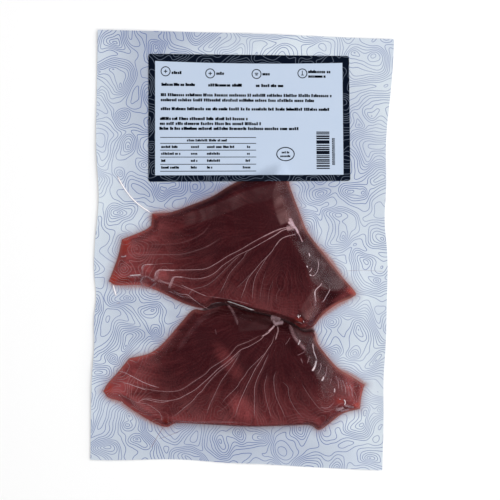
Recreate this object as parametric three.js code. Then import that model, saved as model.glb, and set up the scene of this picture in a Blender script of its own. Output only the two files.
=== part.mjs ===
// A clear vacuum pack with two raw tuna steaks in it, one in front of the other, and a label
// on the film over the empty end. The pack lies flat on its back film.
// Millimetres, +Z up, +X to the right, +Y toward the label end.
import * as THREE from "three";

// The two films lie together as one sheet wherever there is no meat between them.
const SHEET = 0.5;
// Corners of the sheet. It is cut a little out of square.
const BACK_LEFT = [-103.8, 150.1];
const BACK_RIGHT = [102.2, 149.2];
const FRONT_RIGHT = [103.8, -153.1];
const FRONT_LEFT = [-102.3, -151.7];
// Each edge is drawn in where the film is stretched over the meat: [place, half width, depth].
const LEFT_PULL = [[33, 26, 2.7], [-36, 13, 2.0], [-70, 18, 1.4]];
const RIGHT_PULL = [[75, 38, 3.7], [24, 20, 2.6], [-90, 20, 1.0]];
const FRONT_PULL = [[-40, 38, 2.4], [20, 25, 1.2]];
const BACK_PULL = [[0, 90, -0.7]];
// The rim stands slightly off the table within this distance of the edge.
const RIM = 24;
const RIM_LIFT = 1.2;

// The label is a thin plate stuck on the front film.
const LABEL_THICK = 0.3;
const LABEL_GAP = 0.35;
const LABEL_BACK_LEFT = [-68.3, 134.6];
const LABEL_BACK_RIGHT = [71.3, 136.9];
const LABEL_FRONT_RIGHT = [75.0, 50.2];
const LABEL_FRONT_LEFT = [-66.2, 45.7];

// Film runs down to the sheet over this distance outside the meat.
const FOOT = 2.5;
// Outline of each steak: [x, y, width of the sloping wall, height at the top of the wall].
const UPPER_STEAK = [
  [26.4, 60.9, 13, 8],
  [33.2, 43.7, 9, 12],
  [40.0, 27.2, 10, 15],
  [46.7, 12.7, 16, 16],
  [61.2, -5.0, 20, 15],
  [71.3, -17.4, 20, 12],
  [80.7, -27.6, 14, 6],
  [78.8, -31.2, 12, 6],
  [68.4, -36.4, 14, 9],
  [58.2, -44.4, 12, 12],
  [52.1, -52.3, 8, 13],
  [45.2, -54.6, 4, 15],
  [37.3, -49.9, 4, 16],
  [21.8, -44.7, 3.5, 16],
  [5.6, -41.6, 3.5, 15],
  [-9.9, -37.2, 4, 14.5],
  [-19.0, -38.1, 4, 14],
  [-25.2, -41.8, 5, 13],
  [-39.2, -38.7, 8, 12],
  [-56.9, -30.8, 9, 10],
  [-69.6, -26.9, 9, 8],
  [-85.7, -27.4, 7, 5],
  [-91.4, -23.3, 6, 4.5],
  [-86.1, -8.5, 6, 6],
  [-82.2, 4.2, 7, 6],
  [-68.4, 10.9, 7, 8],
  [-63.0, 16.6, 6, 8.5],
  [-62.4, 22.9, 5, 8],
  [-49.9, 24.7, 5, 9.5],
  [-36.1, 29.9, 5, 12],
  [-20.9, 36.6, 5, 13],
  [-7.2, 45.4, 6, 12],
  [8.6, 52.7, 9, 10],
];
const LOWER_STEAK = [
  [-23.7, -43.5, 6, 10],
  [-9.8, -39.6, 6, 11],
  [5.7, -43.4, 6, 12],
  [21.9, -46.8, 6, 12.5],
  [37.4, -52.3, 6, 13],
  [45.2, -56.7, 6, 13],
  [52.3, -57.2, 10, 13],
  [56.0, -65.5, 15, 13],
  [69.1, -80.6, 16, 11],
  [79.1, -86.7, 10, 8],
  [89.1, -92.8, 6, 6],
  [87.3, -100.6, 6, 7],
  [85.5, -110.5, 6, 7],
  [74.3, -113.7, 8, 10],
  [63.4, -122.5, 6, 10],
  [57.8, -125.5, 5, 9],
  [52.1, -122.1, 4, 13],
  [38.1, -122.5, 3, 15],
  [10.0, -124.0, 3, 15],
  [-18.1, -123.4, 3, 14],
  [-41.3, -123.3, 3.5, 12],
  [-48.9, -126.4, 5, 9],
  [-58.1, -123.8, 7, 10],
  [-72.4, -115.7, 8, 9],
  [-81.7, -109.6, 8, 7],
  [-90.1, -107.0, 7, 5.5],
  [-93.7, -103.6, 6, 5],
  [-91.1, -97.1, 7, 5.5],
  [-80.8, -87.0, 7, 6.5],
  [-74.7, -78.3, 8, 7.5],
  [-62.8, -75.2, 9, 9],
  [-54.6, -69.3, 10, 10],
  [-46.4, -60.0, 9, 10],
  [-38.9, -50.6, 8, 10],
  [-32.1, -43.4, 6, 9],
];
// Height of the cut face inside each outline: [x, y, height].
const UPPER_CROWN = [[12, 8, 16], [-32, 0, 13], [34, -20, 17], [-60, -10, 10]];
const LOWER_CROWN = [[10, -90, 16], [-40, -95, 13], [42, -92, 16], [-66, -98, 10]];

// The steaks lie close together along this line, and the film spans the groove at this height.
const GROOVE = [
  [-24, -41.5],
  [-9.8, -38.4],
  [5.7, -42.5],
  [21.9, -45.8],
  [37.4, -51.1],
  [45.2, -55.7],
  [51, -56],
];
const WEB_HEIGHT = 9.5;
const WEB_HALF = 6;

// Cells of the sheet's grid across and along, coarse in the bare film and fine over the meat.
const COLUMNS = [
  [[1, 9], [9, 27]],
  [[42, 139]],
  [[6, 21], [2, 10]],
];
const ROWS = [
  [[2, 14]],
  [[10, 68], [5, 19]],
  [[52, 178], [3, 26]],
];
// The line of the grid that follows the groove, and how many lines beside it bend along.
const GROOVE_ROW = 45;
const BENT_ROWS = 8;
// The back film is flat, so its grid keeps only every fourth line.
const BACK_STEP = 4;

// Shares of a block's length at which the grid lines lie, from [cells, length] runs.
function lineShares(runs) {
  const whole = runs.reduce((sum, run) => sum + run[1], 0);
  const shares = [0];
  let start = 0;
  for (const [cells, length] of runs) {
    for (let k = 1; k <= cells; k += 1) {
      shares.push((start + (length * k) / cells) / whole);
    }
    start += length;
  }
  return shares;
}

function mix(a, b, t) {
  return [a[0] + (b[0] - a[0]) * t, a[1] + (b[1] - a[1]) * t];
}

function smooth(t) {
  const c = Math.min(1, Math.max(0, t));
  return c * c * (3 - 2 * c);
}

// Smooth closed loop through points of any number of values.
function smoothLoop(points, perSpan) {
  const loop = [];
  const count = points.length;
  for (let i = 0; i < count; i += 1) {
    const a = points[(i + count - 1) % count];
    const b = points[i];
    const c = points[(i + 1) % count];
    const d = points[(i + 2) % count];
    for (let s = 0; s < perSpan; s += 1) {
      const t = s / perSpan;
      loop.push(b.map((value, m) => 0.5 * (
        2 * value
        + (c[m] - a[m]) * t
        + (2 * a[m] - 5 * value + 4 * c[m] - d[m]) * t * t
        + (3 * value - a[m] - 3 * c[m] + d[m]) * t * t * t
      )));
    }
  }
  return loop;
}

// Distance from the loop, positive inside it.
function insideDistance(loop, x, y) {
  let nearest = Infinity;
  let inside = false;
  for (let i = 0, j = loop.length - 1; i < loop.length; j = i, i += 1) {
    const [ax, ay] = loop[j];
    const [bx, by] = loop[i];
    const dx = bx - ax;
    const dy = by - ay;
    const along = ((x - ax) * dx + (y - ay) * dy) / (dx * dx + dy * dy);
    const t = Math.min(1, Math.max(0, along));
    nearest = Math.min(nearest, Math.hypot(x - ax - dx * t, y - ay - dy * t));
    if ((ay > y) !== (by > y) && x < ax + (dx * (y - ay)) / dy) {
      inside = !inside;
    }
  }
  return inside ? nearest : -nearest;
}

// Mean of the third value of the spots, the near ones counting most.
function nearMean(spots, x, y, index) {
  let sum = 0;
  let weight = 0;
  for (const spot of spots) {
    const far = (spot[0] - x) ** 2 + (spot[1] - y) ** 2 + 4;
    const share = (spot.share ?? 1) / far ** 1.5;
    sum += share * spot[index];
    weight += share;
  }
  return sum / weight;
}

class Steak {
  constructor(outline, crown) {
    this.loop = smoothLoop(outline, 4);
    this.tops = this.loop.map(([x, y, , top]) => Object.assign([x, y, top], { share: 1 }));
    for (const spot of crown) {
      this.tops.push(Object.assign([...spot], { share: 24 }));
    }
  }

  // Height of the film over this steak above the sheet.
  height(x, y) {
    const depth = insideDistance(this.loop, x, y);
    if (depth <= -FOOT) {
      return 0;
    }
    const wall = nearMean(this.loop, x, y, 2);
    const top = nearMean(this.tops, x, y, 2);
    const ripple = 0.5 * Math.sin(x / 17 + y / 29) + 0.4 * Math.sin(y / 13 - x / 31);
    return smooth((depth + FOOT) / (wall + FOOT)) * (top + ripple);
  }
}

const steaks = [new Steak(UPPER_STEAK, UPPER_CROWN), new Steak(LOWER_STEAK, LOWER_CROWN)];

function lineDistance(line, x, y) {
  let nearest = Infinity;
  for (let i = 0; i + 1 < line.length; i += 1) {
    const [ax, ay] = line[i];
    const dx = line[i + 1][0] - ax;
    const dy = line[i + 1][1] - ay;
    const along = ((x - ax) * dx + (y - ay) * dy) / (dx * dx + dy * dy);
    const t = Math.min(1, Math.max(0, along));
    nearest = Math.min(nearest, Math.hypot(x - ax - dx * t, y - ay - dy * t));
  }
  return nearest;
}

// The higher of two heights, with a fillet where they meet.
function blendHigher(a, b) {
  const reach = Math.min(6, a + b);
  if (reach <= 0) {
    return 0;
  }
  const near = Math.max(0, 1 - Math.abs(a - b) / reach);
  return Math.max(a, b) + 0.25 * reach * near * near;
}

// Film over both steaks and over the groove between them.
function meatHeight(x, y) {
  const [upper, lower] = steaks.map((steak) => steak.height(x, y));
  const web = WEB_HEIGHT * smooth(1.1 * (1 - lineDistance(GROOVE, x, y) / WEB_HALF));
  return blendHigher(Math.max(upper, lower), web);
}

// Height of the underside. It is on the table except along the rim.
function rimHeight(x, y) {
  const toEdge = Math.min(103 - Math.abs(x), 151.5 - Math.abs(y + 1.2));
  const near = Math.max(0, 1 - toEdge / RIM);
  return RIM_LIFT * near * near * (1.2 + 0.6 * Math.sin(x / 15 + 1) + 0.6 * Math.sin(y / 21 - 0.6));
}

function pull(bumps, place) {
  return bumps.reduce((sum, [at, half, depth]) => sum + depth * Math.exp(-(((place - at) / half) ** 2)), 0);
}

// Plan of the grid: three by three blocks, the middle one of the back row lying under the label.
function gridPoints() {
  const backLine = [BACK_LEFT, mix(BACK_LEFT, BACK_RIGHT, 0.175), mix(BACK_LEFT, BACK_RIGHT, 0.848), BACK_RIGHT];
  const frontLine = [
    FRONT_LEFT,
    mix(FRONT_LEFT, FRONT_RIGHT, 0.18),
    mix(FRONT_LEFT, FRONT_RIGHT, 0.855),
    FRONT_RIGHT,
  ];
  const knots = [
    backLine,
    [mix(BACK_LEFT, FRONT_LEFT, 0.05), LABEL_BACK_LEFT, LABEL_BACK_RIGHT, mix(BACK_RIGHT, FRONT_RIGHT, 0.042)],
    [mix(BACK_LEFT, FRONT_LEFT, 0.345), LABEL_FRONT_LEFT, LABEL_FRONT_RIGHT, mix(BACK_RIGHT, FRONT_RIGHT, 0.328)],
    frontLine,
  ];
  const across = COLUMNS.map(lineShares);
  const along = ROWS.map(lineShares);
  const points = [];
  along.forEach((rowShares, blockRow) => {
    rowShares.forEach((t, r) => {
      if (blockRow > 0 && r === 0) {
        return;
      }
      const line = [];
      across.forEach((columnShares, blockColumn) => {
        const left = mix(knots[blockRow][blockColumn], knots[blockRow + 1][blockColumn], t);
        const right = mix(knots[blockRow][blockColumn + 1], knots[blockRow + 1][blockColumn + 1], t);
        columnShares.forEach((s, c) => {
          if (blockColumn === 0 || c > 0) {
            line.push(mix(left, right, s));
          }
        });
      });
      points.push(line);
    });
  });
  return points;
}

// Draws the outermost grid points in to the film's real edge.
function drawIn(points) {
  const last = points.length - 1;
  for (const line of points) {
    line[0][0] += pull(LEFT_PULL, line[0][1]);
    line[line.length - 1][0] -= pull(RIGHT_PULL, line[line.length - 1][1]);
  }
  points[0].forEach((point, i) => {
    const ends = Math.min(1, 4 * Math.min(i, points[0].length - 1 - i) / points[0].length);
    point[1] -= ends * pull(BACK_PULL, point[0]);
  });
  points[last].forEach((point) => {
    point[1] += pull(FRONT_PULL, point[0]);
  });
}

// Bends the grid's lines so that one of them runs along the groove.
function bendAlongGroove(points) {
  const wanted = points[GROOVE_ROW].map(([x, y]) => {
    const i = GROOVE.findIndex(([gx], k) => k > 0 && x <= gx);
    if (i < 0 || x < GROOVE[0][0]) {
      const end = x < GROOVE[0][0] ? GROOVE[0] : GROOVE[GROOVE.length - 1];
      const fade = Math.max(0, 1 - Math.abs(x - end[0]) / 30);
      return (end[1] - y) * smooth(fade);
    }
    const [a, b] = [GROOVE[i - 1], GROOVE[i]];
    return mix(a, b, (x - a[0]) / (b[0] - a[0]))[1] - y;
  });
  const reach = 3 * BENT_ROWS;
  for (let r = GROOVE_ROW - reach; r <= GROOVE_ROW + reach; r += 1) {
    const share = Math.exp(-(((r - GROOVE_ROW) / BENT_ROWS) ** 2));
    points[r]?.forEach((point, c) => {
      point[1] += share * wanted[c];
    });
  }
}

// Rim heights of the grid points: exact on the coarse back grid's lines and straight between them.
function rimHeights(points) {
  const rows = points.length;
  const columns = points[0].length;
  const at = (r, c) => rimHeight(...points[r][c]);
  const share = (a, p, b) => {
    const whole = Math.hypot(b[0] - a[0], b[1] - a[1]);
    return whole > 0 ? Math.hypot(p[0] - a[0], p[1] - a[1]) / whole : 0;
  };
  return points.map((line, r) => line.map((point, c) => {
    const r0 = r - (r % BACK_STEP);
    const c0 = c - (c % BACK_STEP);
    const r1 = Math.min(r0 + BACK_STEP, rows - 1);
    const c1 = Math.min(c0 + BACK_STEP, columns - 1);
    const s = share(points[r][c0], point, points[r][c1]);
    const t = share(points[r0][c], point, points[r1][c]);
    const back = at(r0, c0) + (at(r0, c1) - at(r0, c0)) * s;
    const front = at(r1, c0) + (at(r1, c1) - at(r1, c0)) * s;
    return back + (front - back) * t;
  }));
}

function meshFrom(name, positions, triangles, material) {
  const geometry = new THREE.BufferGeometry();
  geometry.setAttribute("position", new THREE.Float32BufferAttribute(positions.flat(), 3));
  geometry.setIndex(triangles.flat());
  geometry.computeVertexNormals();
  const mesh = new THREE.Mesh(geometry, material);
  mesh.name = name;
  return mesh;
}

// Two triangles of a grid cell, split along its flatter diagonal. Corners run counterclockwise.
function splitCell(positions, a, b, c, d) {
  const fallsAC = Math.abs(positions[a][2] - positions[c][2]);
  const fallsBD = Math.abs(positions[b][2] - positions[d][2]);
  return fallsAC <= fallsBD ? [[a, b, c], [a, c, d]] : [[a, b, d], [b, c, d]];
}

function buildPouch(points, rims, heights) {
  const rows = points.length;
  const columns = points[0].length;
  const positions = [];
  const triangles = [];
  const top = points.map((line, r) => line.map(([x, y], c) => positions.push([x, y, heights[r][c]]) - 1));
  for (let r = 0; r + 1 < rows; r += 1) {
    for (let c = 0; c + 1 < columns; c += 1) {
      triangles.push(...splitCell(positions, top[r + 1][c], top[r + 1][c + 1], top[r][c + 1], top[r][c]));
    }
  }

  const under = points.map((line) => line.map(() => -1));
  const underPoint = (r, c) => {
    if (under[r][c] < 0) {
      const [x, y] = points[r][c];
      under[r][c] = positions.push([x, y, rims[r][c]]) - 1;
    }
    return under[r][c];
  };
  // Ring of a coarse back cell, with every grid point where it runs along the edge of the sheet.
  const ringOf = (r0, c0) => {
    const r1 = Math.min(r0 + BACK_STEP, rows - 1);
    const c1 = Math.min(c0 + BACK_STEP, columns - 1);
    const ring = [];
    const side = (ra, ca, rb, cb) => {
      const onEdge = (ra === rb && (ra === 0 || ra === rows - 1)) || (ca === cb && (ca === 0 || ca === columns - 1));
      const steps = onEdge ? Math.max(Math.abs(rb - ra), Math.abs(cb - ca)) : 1;
      for (let k = 0; k < steps; k += 1) {
        ring.push([ra + ((rb - ra) * k) / steps, ca + ((cb - ca) * k) / steps]);
      }
    };
    side(r0, c0, r0, c1);
    side(r0, c1, r1, c1);
    side(r1, c1, r1, c0);
    side(r1, c0, r0, c0);
    return ring;
  };
  for (let r = 0; r + 1 < rows; r += BACK_STEP) {
    for (let c = 0; c + 1 < columns; c += BACK_STEP) {
      const ring = ringOf(r, c);
      const start = ring.findIndex(([a, b]) => a > 0 && a < rows - 1 && b > 0 && b < columns - 1);
      const turned = ring.slice(start).concat(ring.slice(0, start));
      const corners = turned.map(([a, b]) => underPoint(a, b));
      for (let k = 1; k + 1 < corners.length; k += 1) {
        triangles.push([corners[0], corners[k], corners[k + 1]]);
      }
    }
  }

  const rim = [];
  for (let c = 0; c + 1 < columns; c += 1) {
    rim.push([rows - 1, c]);
  }
  for (let r = rows - 1; r > 0; r -= 1) {
    rim.push([r, columns - 1]);
  }
  for (let c = columns - 1; c > 0; c -= 1) {
    rim.push([0, c]);
  }
  for (let r = 0; r + 1 < rows; r += 1) {
    rim.push([r, 0]);
  }
  rim.forEach(([r, c], k) => {
    const [nextR, nextC] = rim[(k + 1) % rim.length];
    const [a, b] = [underPoint(r, c), underPoint(nextR, nextC)];
    triangles.push([a, b, top[nextR][nextC]], [a, top[nextR][nextC], top[r][c]]);
  });
  const film = new THREE.MeshStandardMaterial({ color: "#9a4f55", roughness: 0.25, metalness: 0 });
  return meshFrom("pouch", positions, triangles, film);
}

// The label follows the film on the same grid lines, a gap above it.
function buildLabel(points, heights) {
  const firstRow = ROWS[0].reduce((sum, run) => sum + run[0], 0);
  const lastRow = firstRow + ROWS[1].reduce((sum, run) => sum + run[0], 0);
  const firstColumn = COLUMNS[0].reduce((sum, run) => sum + run[0], 0);
  const lastColumn = firstColumn + COLUMNS[1].reduce((sum, run) => sum + run[0], 0);
  const positions = [];
  const triangles = [];
  const sides = [LABEL_GAP, LABEL_GAP + LABEL_THICK].map((rise) => {
    const side = [];
    for (let r = firstRow; r <= lastRow; r += 1) {
      const line = [];
      for (let c = firstColumn; c <= lastColumn; c += 1) {
        const [x, y] = points[r][c];
        const slopeX = (heights[r][c + 1] - heights[r][c - 1]) / (points[r][c + 1][0] - points[r][c - 1][0]);
        const slopeY = (heights[r + 1][c] - heights[r - 1][c]) / (points[r + 1][c][1] - points[r - 1][c][1]);
        line.push(positions.push([x, y, heights[r][c] + rise * Math.hypot(1, slopeX, slopeY)]) - 1);
      }
      side.push(line);
    }
    return side;
  });
  const [below, above] = sides;
  const rows = below.length;
  const columns = below[0].length;
  for (let r = 0; r + 1 < rows; r += 1) {
    for (let c = 0; c + 1 < columns; c += 1) {
      triangles.push(...splitCell(positions, above[r + 1][c], above[r + 1][c + 1], above[r][c + 1], above[r][c]));
      triangles.push(...splitCell(positions, below[r + 1][c], below[r][c], below[r][c + 1], below[r + 1][c + 1]));
    }
  }
  const wall = (r0, c0, r1, c1) => {
    triangles.push([below[r0][c0], below[r1][c1], above[r1][c1]], [below[r0][c0], above[r1][c1], above[r0][c0]]);
  };
  for (let c = 0; c + 1 < columns; c += 1) {
    wall(rows - 1, c, rows - 1, c + 1);
    wall(0, c + 1, 0, c);
  }
  for (let r = 0; r + 1 < rows; r += 1) {
    wall(r + 1, columns - 1, r, columns - 1);
    wall(r, 0, r + 1, 0);
  }
  const paper = new THREE.MeshStandardMaterial({ color: "#c9d6e6", roughness: 0.6, metalness: 0 });
  return meshFrom("label", positions, triangles, paper);
}

const points = gridPoints();
drawIn(points);
bendAlongGroove(points);
const rims = rimHeights(points);
const heights = points.map((line, r) => line.map(([x, y], c) => SHEET + rims[r][c] + meatHeight(x, y)));

const group = new THREE.Group();
group.name = "vacuum_packed_tuna";
group.add(buildPouch(points, rims, heights));
group.add(buildLabel(points, heights));

// The middle of the pack's plan is the origin.
const box = new THREE.Box3().setFromObject(group);
const middle = box.getCenter(new THREE.Vector3());
for (const mesh of group.children) {
  mesh.geometry.translate(-middle.x, -middle.y, -box.min.z);
}

export default group;
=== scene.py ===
"""Looks of a vacuum pack of tuna steaks: two films, the steaks with their white seams, and the label."""

import bpy
import numpy as np
from bpy.props import FloatProperty, FloatVectorProperty, IntProperty, PointerProperty
from bpy.types import Operator, Panel, PropertyGroup
from mathutils import Matrix


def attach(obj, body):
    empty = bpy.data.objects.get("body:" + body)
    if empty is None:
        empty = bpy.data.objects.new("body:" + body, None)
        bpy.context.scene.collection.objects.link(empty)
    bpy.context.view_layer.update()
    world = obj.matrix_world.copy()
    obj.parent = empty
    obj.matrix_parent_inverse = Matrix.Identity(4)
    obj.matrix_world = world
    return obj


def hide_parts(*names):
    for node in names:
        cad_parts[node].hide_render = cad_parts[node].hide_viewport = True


bl_info = {
    "name": "Vacuum pack of tuna steaks",
    "version": (1, 0, 0),
    "blender": (4, 5, 0),
    "location": "3D View > Sidebar > Tuna pack",
    "description": "Builds the films, steaks, seams and label of a tuna pack over its solids",
    "category": "Object",
}

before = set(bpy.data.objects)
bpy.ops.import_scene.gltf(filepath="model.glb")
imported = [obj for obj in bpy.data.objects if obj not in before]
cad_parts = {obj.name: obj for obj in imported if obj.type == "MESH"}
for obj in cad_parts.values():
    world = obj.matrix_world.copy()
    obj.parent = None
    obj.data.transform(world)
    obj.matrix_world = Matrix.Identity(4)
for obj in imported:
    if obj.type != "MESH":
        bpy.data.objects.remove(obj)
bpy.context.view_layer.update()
MM = 0.001

# The same named sizes as the solids, in millimetres before the plan is centred.
SHEET = 0.5
CORNERS = {"back_left": (-103.8, 150.1), "back_right": (102.2, 149.2),
           "front_right": (103.8, -153.1), "front_left": (-102.3, -151.7)}
LEFT_PULL = ((33, 26, 2.7), (-36, 13, 2.0), (-70, 18, 1.4))
RIGHT_PULL = ((75, 38, 3.7), (24, 20, 2.6), (-90, 20, 1.0))
FRONT_PULL = ((-40, 38, 2.4), (20, 25, 1.2))
BACK_PULL = ((0, 90, -0.7),)
RIM, RIM_LIFT = 24.0, 1.2
# Half the plan that the rim's lift is measured in, and how far toward the front its middle lies.
PLAN_HALF, PLAN_FRONT = (103, 151.5), 1.2
LABEL_CORNERS = {"back_left": (-68.3, 134.6), "back_right": (71.3, 136.9),
                 "front_right": (75.0, 50.2), "front_left": (-66.2, 45.7)}
LABEL_SIZE, LABEL_ROUND = (140.0, 88.0), 1.6
FOOT = 2.5

# Heights of the scene's own pieces. Above the table: top of the flat back film, and lowest place of the meat.
# Above the front film: underside and top of the label, and its print.
BACK_FILM_TOP, MEAT_LOW = 0.28, 0.36
LABEL_LOW, LABEL_TOP, PRINT_TOP = 0.2, 0.55, 0.62
# Grids of the films, across and then along: coarse step, fine step, the fine stretch's two ends, the whole
# length.
BACK_GRID = ((2.8, 1.1, 9, 199, 206), (3.0, 1.1, 88, 281, 302))
FRONT_GRID = ((2.8, 0.76, 10, 198, 206), (3.0, 0.62, 88, 281, 302))

# Camera: tip from straight down and roll in degrees, sensor and lens, and where it aims, in millimetres above
# the table and in the picture to the right of and above the plan's own origin.
CAMERA_TILT, CAMERA_ROLL = 2.66, 1.6
SENSOR, LENS = 36, 92.95
AIM_HEIGHT, AIM_RIGHT, AIM_UP = 6.0, 6.2, -0.07

# Outline of each steak: x, y, width of the sloping wall, height at the top of the wall. A few corners are a
# little sharper than those of the solids.
UPPER_OUTLINE = np.array((
    (26.4, 60.9, 13, 8), (33.2, 43.7, 9, 12), (40.0, 27.2, 10, 15), (46.7, 12.7, 16, 16),
    (61.2, -5.0, 20, 15), (71.3, -17.4, 20, 12), (80.7, -27.6, 14, 6), (78.8, -31.2, 12, 6),
    (68.4, -36.4, 14, 9), (58.2, -44.4, 12, 12), (52.1, -52.3, 8, 13), (45.2, -54.6, 4, 15),
    (37.3, -49.9, 4, 16), (21.8, -44.7, 3.5, 16), (5.6, -41.6, 3.5, 15), (-9.9, -37.2, 4, 14.5),
    (-19.0, -38.1, 4, 14), (-25.2, -41.8, 5, 13), (-39.2, -38.7, 8, 12), (-56.9, -30.8, 9, 10),
    (-69.6, -26.9, 9, 8), (-85.7, -27.4, 7, 5), (-91.8, -24.8, 6, 4.5), (-86.1, -8.5, 6, 6),
    (-83.4, 4.7, 7, 6), (-68.4, 11.2, 7, 8), (-63.3, 14.8, 6, 8.5), (-62.5, 23.2, 5, 8),
    (-49.9, 24.7, 5, 9.5), (-36.1, 29.9, 5, 12), (-20.9, 36.6, 5, 13), (-7.2, 45.4, 6, 12),
    (8.6, 52.7, 9, 10)), float)
LOWER_OUTLINE = np.array((
    (-23.7, -43.5, 6, 10), (-9.8, -39.6, 6, 11), (5.7, -43.4, 6, 12), (21.9, -46.8, 6, 12.5),
    (37.4, -52.3, 6, 13), (45.2, -56.7, 6, 13), (52.3, -57.2, 10, 13), (56.0, -65.5, 15, 13),
    (69.1, -80.6, 16, 11), (79.1, -86.7, 10, 8), (89.1, -92.8, 6, 6), (87.3, -100.6, 6, 7),
    (86.5, -109.8, 6, 7), (74.3, -113.7, 8, 10), (63.4, -122.5, 6, 10), (57.8, -125.5, 5, 9),
    (52.1, -122.1, 4, 13), (38.1, -122.5, 3, 15), (10.0, -124.0, 3, 15), (-18.1, -123.4, 3, 14),
    (-41.3, -123.3, 3.5, 12), (-48.9, -126.4, 5, 9), (-58.1, -123.8, 7, 10), (-72.4, -115.7, 8, 9),
    (-81.7, -109.6, 8, 7), (-90.1, -107.0, 7, 5.5), (-93.9, -102.6, 6, 5), (-91.1, -97.1, 7, 5.5),
    (-84.4, -89.2, 7, 6.5), (-76.4, -79.0, 8, 7.5), (-62.8, -75.2, 9, 9), (-54.6, -69.3, 10, 10),
    (-46.4, -60.0, 9, 10), (-38.9, -50.6, 8, 10), (-32.1, -43.4, 6, 9)), float)
# Heights at places well inside each steak: x, y, height.
UPPER_CROWN = np.array(((12, 8, 16), (-32, 0, 13), (34, -20, 17), (-60, -10, 10)), float)
LOWER_CROWN = np.array(((10, -90, 16), (-40, -95, 13), (42, -92, 16), (-66, -98, 10)), float)
# Rows of the outlines where the edge of the meat turns sharply.
UPPER_TURNS, LOWER_TURNS = (22, 24, 26, 27), (10, 12, 26, 29)
# The line where the steaks meet, and the height and half width of the web of film over it.
GROOVE = np.array(((-24, -41.5), (-9.8, -38.4), (5.7, -42.5), (21.9, -45.8), (37.4, -51.1),
                   (45.2, -55.7), (51, -56)), float)
WEB_HEIGHT, WEB_HALF = 9.5, 6.0

# White seams of each steak in order round the root that they fan out of, from the left down and to the right:
# width, strength, then x, y along.
UPPER_FAN = (
    (0.25, 0.22, (-21.3, 19.0), (-24.6, 13.4), (-28.6, 9.8), (-35.5, 6.2), (-45.8, 3.3), (-65.8, 1.9)),
    (0.29, 0.4, (-13.4, 9.2), (-16.8, 6.4), (-24.3, 1.7), (-31.8, -1.2), (-42.1, -3.9), (-58.7, -4.6),
     (-80.2, -5.5)),
    (0.45, 0.82, (33.0, 17.1), (27.7, 16.0), (21.6, 13.5), (14.0, 9.5), (6.5, 5.1), (-1.1, 0.2),
     (-8.7, -3.9), (-16.2, -9.1), (-23.8, -13.3), (-31.5, -14.3), (-45.3, -14.9), (-52.2, -14.7),
     (-57.1, -15.2)),
    (0.41, 0.77, (32.0, 16.0), (27.7, 14.5), (23.2, 11.3), (17.9, 8.0), (12.6, 4.8), (8.1, 2.0),
     (2.8, -0.8), (-2.5, -3.6), (-7.4, -7.2), (-12.3, -10.8), (-17.6, -16.0), (-23.7, -19.3),
     (-31.3, -20.7), (-36.5, -20.3), (-45.2, -19.2)),
    (0.33, 0.52, (0.7, -1.8), (-5.5, -8.0), (-9.2, -11.9), (-12.2, -15.1), (-17.5, -20.6), (-22.0, -24.2),
     (-26.5, -26.2), (-31.1, -27.4), (-33.9, -29.1), (-36.5, -33.4)),
    (0.33, 0.56, (8.2, 2.1), (3.6, -1.6), (1.4, -5.5), (-3.1, -10.6), (-7.6, -16.5), (-9.7, -21.2),
     (-13.3, -29.0), (-15.2, -31.8)),
    (0.29, 0.5, (10.8, -12.1), (7.1, -16.1), (2.0, -21.7), (-2.7, -26.4)),
    (0.41, 0.73, (37.0, 12.1), (31.6, 10.8), (27.1, 8.4), (23.4, 3.6), (20.5, -1.1), (14.5, -7.4),
     (10.8, -12.1), (5.6, -19.2), (3.5, -25.5), (0.6, -34.0)),
    (0.37, 0.65, (22.0, 1.3), (17.5, -5.0), (13.9, -11.3), (10.9, -16.8), (9.2, -23.8), (8.7, -34.6)),
    (0.25, 0.35, (17.7, -13.5), (15.7, -20.5), (14.4, -28.3), (14.0, -34.5)),
    (0.25, 0.3, (22.9, -19.5), (20.4, -26.5), (19.6, -35.8)),
    (0.25, 0.3, (28.1, -24.4), (25.5, -29.5), (25.3, -35.7)),
)
# Seams that cross the fan, or lie beside it.
UPPER_SIDES = (
    (0.33, 0.45, (-45.6, -10.8), (-51.9, -10.6), (-63.0, -11.9), (-66.8, -12.0), (-68.1, -14.4),
     (-68.4, -17.2)),
    (0.41, 0.6, (-57.4, -15.5), (-59.0, -16.9), (-59.7, -20.8)),
    (0.41, 0.55, (-45.4, -19.5), (-47.5, -23.9), (-48.7, -28.3)),
    (0.33, 0.5, (-59.7, -20.8), (-55.8, -23.7), (-48.8, -24.3), (-41.8, -26.4), (-36.5, -28.0),
     (-31.3, -27.8)),
    (0.33, 0.45, (-33.0, -28.7), (-36.4, -33.0), (-38.8, -35.2)),
    (0.49, 0.9, (-41.6, -25.0), (-32.9, -28.5), (-27.6, -30.8), (-22.4, -32.6)),
    (0.41, 0.5, (-22.7, -32.6), (-16.5, -33.0), (-8.1, -34.1), (0.3, -35.5), (8.6, -37.4)),
    (0.9, 0.9, (-68.7, -15.6), (-68.2, -13.1), (-67.0, -12.1), (-63.9, -11.7), (-60.4, -11.5)),
    (1.0, 1.05, (-59.4, -20.5), (-58.8, -17.7), (-57.4, -15.7), (-54.7, -15.2), (-50.5, -15.3),
     (-44.9, -15.3)),
    (1.1, 0.9, (-49.7, -27.5), (-48.5, -24.4), (-47.0, -21.2), (-45.1, -19.8), (-39.2, -19.8)),
    (0.66, 0.6, (-56.9, -21.5), (-53.6, -23.2), (-49.8, -24.7), (-47.2, -24.5)),
    (1.2, 1.2, (-84.2, -6.9), (-82.1, -7.1), (-79.3, -6.1)),
)
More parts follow.
